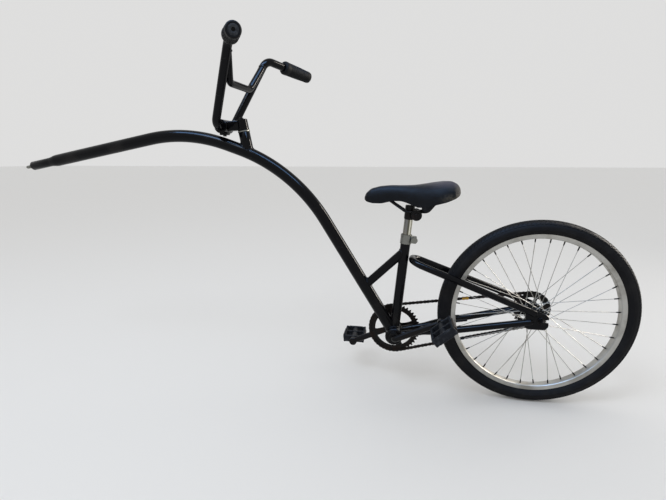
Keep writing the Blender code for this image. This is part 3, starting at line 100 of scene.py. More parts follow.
for name, place, aim, wide, tall, tint, power, lights_all in (
        ("sky_lamp", (0.2, -1.8, 2.6), (1.1, 0.0, -0.3), 1.2, 1.2, (0.8, 0.88, 1.0), 28.0, True),
        ("sky_strip", (0.9, -1.1, 2.3), (1.0, 0.0, -0.1), 3.4, 0.9, (0.28, 0.53, 1.0), 165.0, False),
        ("rear_strip", (3.9, 1.2, 0.9), (1.0, 0.0, -0.1), 0.45, 2.2, (1.0, 0.93, 0.84), 130.0, False)):
    lamp = bpy.data.lights.new(name, "AREA")
    lamp.shape = "RECTANGLE"
    lamp.size, lamp.size_y, lamp.color, lamp.energy = wide, tall, tint, power
    holder = bpy.data.objects.new(name, lamp)
    holder.visible_camera = False
    holder.visible_diffuse = lights_all
    link(holder)
    back = unit(np.subtract(place, aim))
    side = unit(np.cross((0, 0, 1), back))
    up = np.cross(back, side)
    holder.matrix_world = Matrix([(side[i], up[i], back[i], place[i]) for i in range(3)] + [(0, 0, 0, 1)])


# Boom: one steel tube of 40 mm, arched over the child's feet and drawn down to 31 mm at its open mouth,
# enamelled gloss black. Its lower end is welded to the bottom bracket shell.
class Value:
    """A number in a material; Python's operators on it add Math nodes."""

    def __init__(self, finish, socket):
        self.finish, self.socket = finish, socket

    def maths(operation, swapped=False):
        def method(self, other):
            first, second = (other, self) if swapped else (self, other)
            return self.finish.node("ShaderNodeMath", {"operation": operation}, {0: first, 1: second})
        return method

    __add__, __sub__, __mul__, __pow__ = map(maths, ("ADD", "SUBTRACT", "MULTIPLY", "POWER"))
    __radd__, __rsub__ = maths("ADD", True), maths("SUBTRACT", True)

    def rise(self, low, high):
        """0 below low, 1 above high, and a smooth step between."""
        return self.finish.node("ShaderNodeMapRange", {"interpolation_type": "SMOOTHSTEP"},
                                {"Value": self, "From Min": low, "From Max": high})


class Finish:
    """A material in the making, over Blender's Principled shader."""

    def __init__(self, name, **fixed):
        self.material = bpy.data.materials.new(name)
        self.material.use_nodes = True
        self.tree = self.material.node_tree
        self.shader = self.tree.nodes["Principled BSDF"]
        self.where = self.node("ShaderNodeTexCoord", output="Object")
        for socket, value in fixed.items():
            self.feed(self.shader.inputs[socket.replace("_", " ")], value)

    def feed(self, socket, value):
        if isinstance(value, Value):
            self.tree.links.new(value.socket, socket)
        else:
            socket.default_value = (*value, 1.0) if socket.type == "RGBA" else value

    def node(self, kind, settings=None, sockets=None, output=0):
        made = self.tree.nodes.new(kind)
        for name, value in (settings or {}).items():
            setattr(made, name, value)
        for name, value in (sockets or {}).items():
            self.feed(made.inputs[name], value)
        return Value(self, made.outputs[output])

    def axes(self):
        """The point's own x, y and z."""
        parts = self.node("ShaderNodeSeparateXYZ", {}, {0: self.where})
        return [Value(self, parts.socket.node.outputs[axis]) for axis in "XYZ"]

    def noise(self, scale, detail=3.0, stretch=(1.0, 1.0, 1.0)):
        """Cloudy noise from 0 to 1, with scale patches to the metre, drawn out along small stretches."""
        place = self.node("ShaderNodeMapping", {}, {"Vector": self.where, "Scale": stretch})
        return self.node("ShaderNodeTexNoise", {}, {"Vector": place, "Scale": scale, "Detail": detail})

    def blend(self, share, first, second):
        """A colour that goes from first to second as share goes from 0 to 1."""
        return self.node("ShaderNodeMix", {"data_type": "RGBA"}, {0: share, 6: first, 7: second}, output=2)

    def done(self, colour, roughness, height=None, depth=0.0):
        """The material. Where a height is given, light bends as over hills of this depth in metres."""
        self.feed(self.shader.inputs["Base Color"], colour)
        self.feed(self.shader.inputs["Roughness"], roughness)
        if height is not None:
            self.feed(self.shader.inputs["Normal"],
                      self.node("ShaderNodeBump", {}, {"Height": height, "Distance": depth, "Strength": 1.0}))
        return self.material


def gloss_enamel():
    """Black enamel: faint orange peel, road dust that lies in patches and hair scratches along the tubes."""
    made = Finish("black_enamel", Specular_IOR_Level=0.12)
    dust = made.noise(9.0, 5.0).rise(0.52, 0.78)
    hair = made.noise(60.0, 2.0, (0.25, 3.0, 3.0)).rise(0.7, 0.76)
    speck = made.noise(420.0, 1.0).rise(0.74, 0.8)
    colour = made.blend(dust * 0.22, (0.0022, 0.0023, 0.0032), (0.036, 0.032, 0.028))
    colour = made.blend(hair * 0.07 + speck * 0.07, colour, (0.16, 0.16, 0.17))
    return made.done(colour, 0.13 + dust * 0.22 + hair * 0.12, made.noise(130.0, 2.0), 0.0001)


ENAMEL = gloss_enamel(), "black_paint"


def surface(points, closed=False):
    """Quads over a grid whose rows are rings. Closed, the last row joins the first; else both are capped."""
    rows, columns = points.shape[:2]
    index = np.arange(rows * columns).reshape(rows, columns)
    whole = np.vstack([index, index[:1]]) if closed else index
    whole = np.hstack([whole, whole[:, :1]])
    quads = np.stack([whole[:-1, :-1], whole[1:, :-1], whole[1:, 1:], whole[:-1, 1:]], axis=-1)
    faces = quads.reshape(-1, 4).tolist()
    if not closed:
        faces += [index[0].tolist(), index[-1][::-1].tolist()]
    return points.reshape(-1, 3), faces


def piece(name, shapes, finish, stands_for=(), body="frame", sharp=40.0):
    """One object from several closed shapes. Its finish is a material and a slot name, which is not used; it rides
    on its body in place of the CAD nodes that it stands for."""
    material, finish_slot = finish
    starts = np.cumsum([0] + [len(points) for points, _ in shapes])
    mesh = bpy.data.meshes.new(name)
    mesh.from_pydata(np.vstack([points for points, _ in shapes]).tolist(), [],
                     [[corner + start for corner in face] for start, (_, faces) in zip(starts.tolist(), shapes)
                      for face in faces])
    bm = bmesh.new()
    bm.from_mesh(mesh)
    bmesh.ops.recalc_face_normals(bm, faces=bm.faces)
    bm.to_mesh(mesh)
    bm.free()
    mesh.shade_smooth()
    mesh.set_sharp_from_angle(angle=np.radians(sharp))
    mesh.materials.append(material)
    made = bpy.data.objects.new(name, mesh)
    link(made)
    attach(made, body)
    if stands_for:
        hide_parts(*stands_for)
    return made


def out_at(angle):
    """Unit vectors in the bicycle's own plane, at angles in radians from +X towards +Z."""
    return np.stack([np.cos(angle), np.zeros_like(angle), np.sin(angle)], axis=-1)


def slope(degrees):
    """The unit vector at this angle from +X towards +Z."""
    return out_at(np.radians(degrees))


def rounded(corners, radii, step=3.0):
    """Straight runs whose inner corners are arcs: centre + start cos a + start's quarter turn sin a."""
    corners = np.asarray(corners, float)
    runs = [corners[:1]]
    for before, corner, after, radius in zip(corners, corners[1:], corners[2:], radii):
        back, ahead = unit(before - corner), unit(after - corner)
        bend = np.pi - np.arccos(np.dot(back, ahead))
        centre = corner + unit(back + ahead) * radius / np.cos(bend / 2)
        start = corner + back * radius * np.tan(bend / 2) - centre
        angle = np.linspace(0, bend, max(3, int(np.degrees(bend) / step) + 1))[:, None]
        runs.append(centre + start * np.cos(angle) - back * radius * np.sin(angle))
    return np.vstack(runs + [corners[-1:]])


def steepened(wave, power):
    """A wave from -1 to 1 whose flanks steepen as the power falls from 1."""
    return np.sign(wave) * np.abs(wave) ** power


def full_turn(sides):
    """Even angles round a circle, from 0 to one step short of 2 pi."""
    return np.linspace(0, 2 * np.pi, sides, endpoint=False)


def sweep(path, radius, reference, sides=40, flat=1.0, closed=False, power=1.0, along=None):
    """A tube: each path point carries r (cos t . n + flat sin t . b), n and b square to the path,
    with b as near as can be to the reference. A power under 1 squares the circle's corners."""
    path = np.asarray(path, float)
    if along is None:
        along = unit(np.roll(path, -1, axis=0) - np.roll(path, 1, axis=0) if closed else np.gradient(path, axis=0))
    n = unit(np.cross(reference, along))
    t = full_turn(sides)
    radius, flat = (np.broadcast_to(given, len(path))[:, None, None] for given in (radius, flat))
    ring = (steepened(np.cos(t), power)[None, :, None] * n[:, None, :]
            + flat * steepened(np.sin(t), power)[None, :, None] * np.cross(along, n)[:, None, :])
    return surface(path[:, None, :] + radius * ring, closed)


# the rider's right, the two axes that all is placed from, and the boom's radii
RIGHT = np.array((0.0, 1.0, 0.0))
AXLE = np.array((1.757, 0.0, -0.456))
CRANK = np.array((1.31647, 0.0, -0.554))
BOOM, BOOM_MOUTH = 0.02, 0.0155
boom_corners = np.array([(0, 0, 0), slope(10.8) * 0.627, slope(10.8) * 0.627 + slope(-19.2) * 0.382, CRANK])
boom_line = rounded(boom_corners, (0.535, 0.55), 1.5)
down_tube = unit(boom_corners[3] - boom_corners[2])
mouth = slope(10.8)
boom_path = np.vstack([[mouth * reach for reach in (0.029, 0.0008, 0.0, 0.0, 0.0008, 0.074, 0.082, 0.098, 0.106)],
                       boom_line[1:-1], [CRANK - down_tube * 0.014]])
boom_radius = np.concatenate([(0.013, 0.013, 0.0134, 0.0151, BOOM_MOUTH, BOOM_MOUTH, 0.0162, 0.0193, BOOM),
                              np.full(len(boom_line) - 1, BOOM)])
# the skin goes into its own mouth and out again, so the first four rings face the mouth, not along the rows
boom_along = np.vstack([[mouth] * 4, unit(np.gradient(boom_path[4:], axis=0))])
piece("boom_enamel", [sweep(boom_path, boom_radius, RIGHT, 56, along=boom_along)], ENAMEL, ["boom"])


# Hitch stud: a zinc-plated steel pin with a collar, pressed into a bush in the boom's mouth. The towing
# bicycle's joint takes it.
def ring_about(axis, reference, sides):
    """Unit vectors square to the axis, even round it."""
    n = unit(np.cross(axis, reference))
    t = full_turn(sides)
    return np.cos(t)[:, None] * n + np.sin(t)[:, None] * np.cross(axis, n)


def turned(profile, base, axis, sides=48, closed=False):
    """A lathe shape: rows of (radius, height) in millimetres carried round the axis through base."""
    radius, height = np.asarray(profile, float).T[:, :, None, None] / 1000
    axis = unit(axis)
    ring = ring_about(axis, (0.31, 0.27, 0.91) if abs(axis[1]) > 0.5 else (0.0, 1.0, 0.0), sides)
    return surface(base + radius * ring + height * axis, closed)


def hoop(profile, base, axis, sides=48):
    """A lathe shape with an open middle: its profile closes on itself."""
    return turned(profile, base, axis, sides, closed=True)


def both_ways(half):
    """A profile and its mirror image in the plane of height 0."""
    return np.vstack([half, np.array(half)[::-1] * (1, -1)])


def plated_steel():
    """Dull zinc plate: grey-green spangle, thumbed darker in patches."""
    made = Finish("zinc_plate", Metallic=1.0)
    spangle = made.noise(260.0, 3.0)
    worn = made.noise(38.0, 4.0).rise(0.48, 0.72)
    return made.done(made.blend(worn, (0.2, 0.2, 0.18), (0.105, 0.102, 0.086)),
                     0.26 + spangle * 0.16 + worn * 0.14, spangle, 0.00012)


ZINC = plated_steel(), "zinc"
dome = np.radians((8, 30, 50, 70, 90))
stud_profile = np.vstack([np.stack([5.5 * np.sin(dome), 25.5 + 5.5 * np.cos(dome)], axis=1),
                          [(5.5, 10.4), (8, 9.8), (8.5, 9.2), (8.5, 3.2), (8, 2.6), (5.5, 2), (5.5, -5.8), (11.8, -6),
                           (12.6, -6.8), (12.6, -28)]])
piece("stud", [turned(stud_profile, (0, 0, 0), -mouth, 40)], ZINC, ["hitch_stud"])


# Bottom bracket: a shell of 57 mm steel tube across the frame, enamelled with it, and two pressed cups in satin
# black whose lips cover its ends.
def worn_black_steel():
    """Thin satin black over steel: bare grey where it rubs, brown where it has started to rust."""
    made = Finish("satin_black", Metallic=0.2, Specular_IOR_Level=0.14)
    rubbed = made.noise(55.0, 5.0).rise(0.6, 0.74)
    rust = made.noise(23.0, 6.0).rise(0.6, 0.8)
    colour = made.blend(rubbed * 0.25, (0.006, 0.0056, 0.006), (0.07, 0.07, 0.07))
    colour = made.blend(rust * 0.4, colour, (0.035, 0.018, 0.011))
    return made.done(colour, 0.34 + rust * 0.25 + rubbed * 0.08, made.noise(300.0), 0.00016)


SATIN = worn_black_steel(), "black_steel"
SIDES = ("left", -1), ("right", 1)
shell_ring = both_ways([(25.5, 34), (27.9, 34), (28.5, 33.4)])
piece("bracket_shell", [hoop(shell_ring, CRANK, RIGHT, 72)], ENAMEL, ["bottom_bracket_shell"])
cup_ring = [(14, 36.6), (15, 37), (18.6, 36.4), (19.2, 35.6), (21.6, 35.6), (22.2, 36.6), (24.6, 37), (26.2, 37),
            (27.3, 36), (27.3, 34.3), (25, 34.3), (25, 22.5), (22.2, 22.5), (22.2, 32), (14, 32)]
for side, sign in SIDES:
    piece("pressed_cup_" + side, [hoop(cup_ring, CRANK, RIGHT * sign, 72)], SATIN, ["bearing_cup_" + side], sharp=30)


# Seat tube, its gusset and the head tube: straight 31.6, 27.8 and 37 mm steel tubes, mitred and brazed to
# what they meet, in the same enamel.
# outer radii, and the ways that the seat tube and the head tube point
SHELL, SEAT_TUBE, GUSSET, HEAD_TUBE = 0.0285, 0.0158, 0.0139, 0.0185
SEAT_LEAN, HEAD_LEAN = slope(85.1), slope(100.5)
seat_ring = [(13.6, 341.5), (15.4, 341.5), (15.8, 341.1), (15.8, 16), (13.6, 16)]
piece("seat_tube_enamel", [hoop(seat_ring, CRANK, SEAT_LEAN)], ENAMEL, ["seat_tube"])

gusset_top = CRANK + SEAT_LEAN * 0.288
gusset_run = slope(44.4)
reach = gusset_top - CRANK
gusset_length = (reach[0] * down_tube[2] - reach[2] * down_tube[0]) / (
    gusset_run[0] * down_tube[2] - gusset_run[2] * down_tube[0])
gusset_ends = [gusset_top - gusset_run * (gusset_length - 0.01), gusset_top - gusset_run * 0.006]
piece("gusset_enamel", [sweep(gusset_ends, GUSSET, RIGHT)], ENAMEL, ["gusset_tube"])

head_foot = np.array((0.824, 0.0, 0.04353))
head_profile = [(18.5, 4), (18.5, 66), (17.7, 67)]
piece("head_enamel", [turned(head_profile, head_foot, HEAD_LEAN, 56)], ENAMEL, ["head_tube"])
ring_profile = [(18, 67.3), (19.5, 67.6), (19.5, 71), (18, 71.3)]
piece("head_collar", [turned(ring_profile, head_foot, HEAD_LEAN, 56)], ZINC, ["head_ring"])


# Seat stays: one 21.5 mm tube bent into a hairpin round the back of the seat tube. Its ends are slotted
# over the dropouts, pinched and welded.
STAY, DROPOUT_MIDDLE = 0.01075, 0.0625
stay_weld = CRANK + SEAT_LEAN * 0.272
stay_end = AXLE + (-0.012, 0.0, 0.02)
stay_run = unit(stay_end - stay_weld)
stay_bend = stay_weld + stay_run * ((SEAT_TUBE + STAY) / stay_run[0] + 0.0003)
hairpin_corners = [stay_end - RIGHT * DROPOUT_MIDDLE, stay_bend - RIGHT * 0.041,
                   stay_bend + RIGHT * 0.041, stay_end + RIGHT * DROPOUT_MIDDLE]


def pinched_tube(path, reference, both_ends):
    """A stay's tube that draws in, as a quarter ellipse, over the last 12 mm of its rear end or of both ends."""
    rows = np.array((0.0, 0.0008, 0.0025, 0.005, 0.008, 0.012))[:, None]
    path = np.vstack([path[:-1], path[-1] + unit(path[-2] - path[-1]) * rows[::-1]])
    if both_ends:
        path = np.vstack([path[0] + unit(path[1] - path[0]) * rows, path[1:]])
    travelled = np.concatenate([[0], np.cumsum(np.linalg.norm(np.diff(path, axis=0), axis=1))])
    from_end = np.minimum(travelled[-1] - travelled, travelled if both_ends else np.inf)
    share = np.clip(from_end / 0.012, 0, 1)
    return sweep(path, STAY * (0.45 + 0.55 * np.sqrt(1 - (1 - share) ** 2)), reference, 36)


hairpin = rounded(hairpin_corners, (0.0369, 0.0369), 4.0)
piece("hairpin_enamel", [pinched_tube(hairpin, np.cross(stay_run, RIGHT), True)], ENAMEL, ["seat_stays"])


# Chain stays: two 21.5 mm tubes side by side behind the bracket, spread round the tyre, with a short
# bridge between them.
chain_stay_end = AXLE + (-0.022, 0.0, -0.004)
chain_stay_run = unit(chain_stay_end - CRANK)
for side, sign in SIDES:
    outward = RIGHT * sign
    corners = [CRANK + chain_stay_run * 0.021 + outward * 0.0215, CRANK + chain_stay_run * 0.1 + outward * 0.0235,
               CRANK + chain_stay_run * 0.148 + outward * 0.041, chain_stay_end + outward * DROPOUT_MIDDLE]
    piece("chain_stay_enamel_" + side, [pinched_tube(rounded(corners, (0.05, 0.05)), (0, 0, 1), False)], ENAMEL,
          ["chain_stay_" + side])
bridge_middle = CRANK + chain_stay_run * 0.094
piece("bridge_enamel", [sweep([bridge_middle - RIGHT * 0.015, bridge_middle + RIGHT * 0.015], 0.007, (0, 0, 1), 28)],
      ENAMEL, ["chain_stay_bridge"])


# Welds: a steel bead runs round each tube's mitre, laid in short overlapping steps and enamelled over with
# the frame.
RIPPLE = 0.006


def bead(line, radius=0.0024):
    """A closed bead along line whose radius swells and shrinks as |sin|, once every ripple of its length."""
    line = np.asarray(line, float)
    gone = np.cumsum(np.linalg.norm(line - np.roll(line, 1, axis=0), axis=1))
    wave = np.abs(np.sin(np.pi * gone / RIPPLE))
    return sweep(line, radius * (0.78 + 0.3 * wave), unit(np.cross(line[1] - line[0], line[40] - line[0])), 10,
                 closed=True)


def mitre_on_shell(run, radius, offset=0.0):
    """Where a tube along run meets the bracket shell: t = sqrt(R^2 - r^2 cos^2 a) along the tube."""
    a = full_turn(160)[:, None]
    n = np.cross(run, RIGHT)
    t = np.sqrt(SHELL ** 2 - (radius * np.cos(a)) ** 2)
    return CRANK + run * t + n * radius * np.cos(a) + RIGHT * (radius * np.sin(a) + offset)


def mitre_on_tube(run, radius, foot, host, host_radius):
    """Where a tube along run meets another in the same plane: the side distance across the host is fixed."""
    a = full_turn(160)[:, None]
    n, square = np.cross(run, RIGHT), np.cross(host, RIGHT)
    lean = np.dot(run, square)
    t = (np.sign(lean) * np.sqrt(host_radius ** 2 - (radius * np.sin(a)) ** 2)
         - radius * np.cos(a) * np.dot(n, square)) / lean
    return foot + run * t + n * radius * np.cos(a) + RIGHT * radius * np.sin(a)


after = np.searchsorted(boom_line[:, 0], head_foot[0])
head_host = unit(boom_line[after] - boom_line[after - 1])
gusset_foot = gusset_top - gusset_run * gusset_length
mitres = [mitre_on_shell(-down_tube, BOOM), mitre_on_shell(SEAT_LEAN, SEAT_TUBE),
          mitre_on_shell(chain_stay_run, STAY, -0.0215), mitre_on_shell(chain_stay_run, STAY, 0.0215),
          mitre_on_tube(-gusset_run, GUSSET, gusset_top, SEAT_LEAN, SEAT_TUBE),
          mitre_on_tube(gusset_run, GUSSET, gusset_foot, down_tube, BOOM),
          mitre_on_tube(HEAD_LEAN, HEAD_TUBE, head_foot, head_host, BOOM)]
piece("weld_beads", [bead(line) for line in mitres], ENAMEL)


# Dropouts: 5 mm steel plates, cut to shape, that hold the axle in slots open to the rear. They are the
# CAD's own plates, enamelled with the frame.
def paint(finish, *nodes):
    """The finish's material on CAD nodes that show as they are."""
    for node in nodes:
        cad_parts[node].data.materials.clear()
        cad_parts[node].data.materials.append(finish[0])


paint(ENAMEL, "dropout_left", "dropout_right")


# Axle: threaded 10 mm steel in satin black with cones and locknuts, held in the dropouts by a washer and a
# 15 mm nut at each end.
thread = np.arange(22)
thread_rows = np.stack([np.where(thread % 2 == 0, 5.0, 4.6), 83.0 - 0.8 * thread], axis=1)
half_axle = np.vstack([[(3.8, 83)], thread_rows, [(5, 59.8), (8.2, 59.7), (8.5, 59.2), (8.5, 53), (7.8, 52.6),
                                                  (7.8, 47), (6.8, 46.2), (5, 46.1)]])
piece("axle_steel", [turned(both_ways(half_axle), AXLE, RIGHT, 32)], SATIN, ["axle"], sharp=30)


def hexagon_nut(base, axis, flats, height, bore, twist):
    """A chamfered nut, in millimetres: the hexagon's radius at angle a is flats / 2 / cos(a mod 60 - 30), held
    under a cone."""
    axis = unit(axis)
    ring = ring_about(axis, (1.0, 0.0, 0.0), 60)
    hexagon = flats / 2 / np.cos((full_turn(60) + twist) % (np.pi / 3) - np.pi / 6)
    rows = [(bore, 0.0), (np.minimum(hexagon, flats * 0.54), 0.0), (hexagon, 0.6), (hexagon, height - 1.2),
            (np.minimum(hexagon, flats * 0.525), height - 0.4), (flats * 0.46, height), (bore + 0.6, height),
            (bore, height - 0.6)]
    points = np.stack([np.broadcast_to(radius, 60)[:, None] * ring + rise * axis for radius, rise in rows])
    return surface(base + points / 1000, closed=True)


for side, sign in SIDES:
    face = AXLE + RIGHT * sign * 0.0653
    washer = hoop([(5.3, 0), (10.8, 0), (11, 0.4), (11, 1.4), (10.6, 1.8), (5.3, 1.8)], face, RIGHT * sign)
    nut = hexagon_nut(face + RIGHT * sign * 0.0019, RIGHT * sign, 15, 9, 5.2, 0.3)
    piece("axle_nut_set_" + side, [washer, nut], SATIN, ["axle_nut_" + side], sharp=30)


# Tyre: a 48 mm wide black casing with smooth walls and a moulded band by the bead. The low tread is a centre
# band with blocks on both sides, parted by narrow grooves that run slantwise to the shoulders.
def dusty_tyre():
    """Tyre rubber, paler where the tread has met the road."""
    made = Finish("tyre_rubber", Specular_IOR_Level=0.12)
    x, _, z = made.axes()
    x, z = x - AXLE[0], z - AXLE[2]
    crown = ((x * x + z * z) ** 0.5).rise(0.2945, 0.3015)
    cloud = made.noise(30.0, 5.0).rise(0.4, 0.75)
    colour = made.blend(cloud * 0.22 + crown * 0.26, (0.004, 0.004, 0.005), (0.04, 0.037, 0.033))
    return made.done(colour, 0.55 + cloud * 0.2 + crown * 0.1, made.noise(500.0), 0.0002)


PITCHES = 144
in_pitch = np.array((0.0, 0.05, 0.28, 0.33, 0.5, 0.8))
half_across = np.array((1.5, 7, 9, 12, 18, 23, 24.5, 27, 28.5, 35, 42, 48, 53, 57, 60, 66, 74, 82, 90, 96, 100, 104,
                        108, 112, 116))
across_deg = np.concatenate([-half_across[::-1], half_across])


def tyre_shape():
    """Casing circle of 22.2 mm radius over the wheel's circle, raised 1.8 mm by the tread: full on the centre band,
    none from 60 degrees down, and in between it falls where the slanted turn's phase lies in a groove."""
    turn = (np.arange(PITCHES)[:, None] + in_pitch[None, :]).ravel() / PITCHES
    phi = np.radians(across_deg)
    band = np.abs(across_deg)
    groove = np.tile((in_pitch > 0.04) & (in_pitch < 0.3), PITCHES)
    rise = np.interp(band, (0, 24, 24.5, 27, 27.5, 56, 60), (1, 1, 0.35, 0.35, 1, 1, 0))
    lift = np.where(groove[:, None] & (band > 8)[None, :], rise * 0.15, rise)
    rib = np.exp(-((band - 100) / 3.0) ** 2) * 0.0008
    casing = 0.0222 + rib[None, :] + 0.0018 * lift
    angle = 2 * np.pi * (turn[:, None] + 1.6 * np.minimum(band, 60)[None, :] / 60 / PITCHES)
    out = 0.2775 + casing * np.cos(phi)[None, :]
    side = (casing + 0.0014 * (np.abs(np.sin(phi)) ** 4)[None, :]) * np.sin(phi)[None, :]
    points = [AXLE + out[..., None] * out_at(angle) + side[..., None] * RIGHT]
    for column, radius, y in ((-1, 0.2602, 0.015), (-1, 0.2598, 0.0116), (-1, 0.2545, 0.0112), (0, 0.2545, -0.0112),
                              (0, 0.2598, -0.0116), (0, 0.2602, -0.015)):
        points.append((AXLE + radius * out_at(angle[:, column]) + y * RIGHT)[:, None])
    return surface(np.concatenate(points, axis=1), closed=True)


piece("tyre_tread", [tyre_shape()], (dusty_tyre(), "tyre_rubber"), ["tyre"], body="wheel", sharp=32)


# Rim: a single-walled alloy section, rolled and joined into a hoop. Its flanks are matt from use and the
# tyre's bead sits inside its hooked lips.
def dull_alloy():
    """Weathered aluminium: a warm grey film over fine lines that run round the hoop."""
    made = Finish("dull_alloy", Metallic=0.85)
    film = made.noise(16.0, 5.0).rise(0.38, 0.72)
    fine = made.noise(350.0, 2.0)
    return made.done(made.blend(film, (0.44, 0.43, 0.4), (0.28, 0.26, 0.22)), 0.34 + film * 0.2 + fine * 0.08, fine,
                     0.0001)


ALLOY = dull_alloy(), "alloy"
rim_half = [(244.6, 6), (244.9, 10), (245.6, 12.6), (246.8, 13.8), (248, 14.1), (258, 14.5), (258.8, 14.8),
            (259.5, 14.5), (259.2, 12.4), (257.8, 11.9), (256.8, 12.3), (253, 12.1), (252, 11.5), (250.8, 6)]
rim_section = np.vstack([both_ways(rim_half), [(244.5, 0)]])
piece("rim_hoop", [hoop(rim_section, AXLE, RIGHT, 240)], ALLOY, ["rim"], body="wheel", sharp=50)


# Hub and spokes: a turned hub with two flanges, black with grime, 36 bright 2 mm spokes laced three-cross, and
# the dark nipples that draw them into the rim.
hub_section = both_ways([(5.3, 45), (11.8, 45), (12.4, 44.5), (12.8, 44), (13.3, 31), (20, 30.6), (26.2, 30),
                         (28, 29.7), (28.5, 29.1), (28.5, 27), (28, 26.3), (20, 25.8), (16.4, 24), (14.6, 20),
                         (13.8, 12)])
hub_shell = hoop(hub_section, AXLE, RIGHT, 72)
SPOKES = 36
spoke_shapes, nipple_shapes = [], []
for number in range(SPOKES):
    side, outward = (1 if number % 2 else -1), (1 if (number // 2) % 2 else -1)
    rim_turn = 2 * np.pi * (number + 0.5) / SPOKES
    hub_turn = rim_turn - outward * 2 * np.pi * 6 / SPOKES
    radial = out_at(hub_turn)
    hole = AXLE + radial * 0.025 + RIGHT * side * 0.028
    head = hole - RIGHT * outward * 0.0036
    elbow = hole + RIGHT * outward * 0.0034
    tip = AXLE + out_at(rim_turn) * 0.244 + RIGHT * side * 0.003
    wire = rounded([head, elbow, tip], (0.0026,), 22.0)
    spoke_shapes.append(sweep(wire, 0.00105, radial, 8))
    spoke_shapes.append(turned([(0.9, -0.8), (2.1, -0.4), (2.1, 0.4), (1, 0.7)], head, RIGHT * outward, 10))
    run = unit(tip - elbow)
    nipple_shapes.append(turned([(1.4, -12.8), (1.7, -12.4), (1.8, -10), (2.1, -9.6), (2.2, -0.4), (2.1, 0.8)], tip,
                                run, 8))
piece("laced_spokes", spoke_shapes, ALLOY, ["hub_and_spokes"], body="wheel", sharp=35)
piece("grimy_hub", [hub_shell], (SATIN[0], "alloy"), body="wheel", sharp=35)
piece("nipples", nipple_shapes, SATIN, body="wheel", sharp=50)


# Valve: the tube's black stem, clad in rubber, with its cap screwed on. It comes through a hole in the rim
# between two spokes.
valve_out = slope(190)
valve_profile = [(2.4, -38), (3.7, -37.2), (3.8, -27), (3.4, -26.2), (3.4, -24), (4, -23), (4.2, -0.4), (4.2, 4)]
piece("valve", [turned(valve_profile, AXLE + valve_out * 0.2455, valve_out, 24)], SATIN, body="wheel")


# Freewheel: a 28-tooth stamped steel ring on six arms round a turned ratchet body, brown with rust and old
# oil. It screws onto the hub's right side.
def oily_rust():
    """Rusted steel under old chain oil: near-black in the film, brown and dull where it is dry."""
    made = Finish("oily_rust", Metallic=0.2, Specular_IOR_Level=0.2)
    dry = made.noise(48.0, 6.0).rise(0.42, 0.66)
    grit = made.noise(280.0, 4.0)
    colour = made.blend(dry, (0.0032, 0.0026, 0.0025), (0.015, 0.0085, 0.0056))
    colour = made.blend(grit.rise(0.6, 0.75) * 0.5, colour, (0.05, 0.029, 0.019))
    return made.done(colour, 0.42 + dry * 0.35, grit, 0.0003)


RUST = oily_rust(), "rusty_steel"
CHAIN_LINE, HALF_INCH, BAND_THICK, ARM_THICK = 0.0425, 0.0127, 0.0026, 0.0024


def pitch_circle(teeth):
    """The radius at which half-inch chords close into a ring of this many teeth."""
    return HALF_INCH / (2 * np.sin(np.pi / teeth))


def toothed_band(teeth, centre, inner):
    """A ring whose outer radius is the pitch circle plus a rounded tooth wave, thinner at the tips."""
    t = full_turn(teeth * 12)
    phase = (t * teeth / (2 * np.pi) + 0.5) % 1.0 - 0.5
    wave = np.interp(np.abs(phase), (0.0, 0.1, 0.2, 0.34, 0.5), (0.0036, 0.0033, 0.0008, -0.0024, -0.0033))
    outer = pitch_circle(teeth) + wave
    rows = [(inner, 0.5), (inner + 0.0004, 0.5), (outer - 0.0016, 0.5), (outer, 0.28), (outer, -0.28),
            (outer - 0.0016, -0.5), (inner + 0.0004, -0.5), (inner, -0.5)]
    points = [centre + (radius + 0 * t)[:, None] * out_at(t) + RIGHT * (CHAIN_LINE + side * BAND_THICK)
              for radius, side in rows]
    return surface(np.stack(points), closed=True)


def flat_arm(centre, turn, inner, outer, half):
    """A flat bar from the inner to the outer radius: a flattened box swept outwards, wider at both ends."""
    reach = np.linspace(inner, outer, 9)
    spread = half * (1 + 0.28 * np.abs(np.linspace(-1, 1, 9)) ** 3)
    return sweep(centre + RIGHT * CHAIN_LINE + out_at(turn) * reach[:, None], spread, RIGHT, 24,
                 flat=ARM_THICK / 2 / spread, power=0.3)


SPROCKET_TEETH, RING_TEETH = 28, 42
small, big = pitch_circle(SPROCKET_TEETH), pitch_circle(RING_TEETH)
ratchet = [(13.7, 34.2), (21.5, 34.2), (23, 35), (23.6, 36.2), (24, 40.8), (26.2, 41.2), (26.2, 43.8), (24, 44.2),
           (23.2, 46.6), (21.2, 47), (20.6, 46), (18, 46), (17.6, 47), (13.7, 47)]
freewheel_parts = [toothed_band(SPROCKET_TEETH, AXLE, small - 0.016), hoop(ratchet, AXLE, RIGHT, 72)]
freewheel_parts += [flat_arm(AXLE, 0.2 + k * np.pi / 3, 0.0235, small - 0.0155, 0.005) for k in range(6)]
piece("sprocket", freewheel_parts, RUST, ["freewheel"], body="freewheel_body", sharp=35)


# Chainring: a stamped steel ring of 42 teeth with four arms and a boss that the crank's right-hand cone
# clamps. It has the freewheel's dark rust.
CRANK_TURN = np.radians(26.5)
boss = [(9.8, 41.2), (29.6, 41.2), (30.2, 41.8), (30.2, 43.2), (29.6, 43.8), (9.8, 43.8)]
ring_parts = [toothed_band(RING_TEETH, CRANK, big - 0.019), hoop(boss, CRANK, RIGHT, 72)]
ring_parts += [flat_arm(CRANK, CRANK_TURN + np.radians(170 + 90 * k), 0.028, big - 0.018, 0.01) for k in range(4)]
piece("front_sprocket", ring_parts, RUST, ["chainring"], body="crank", sharp=35)


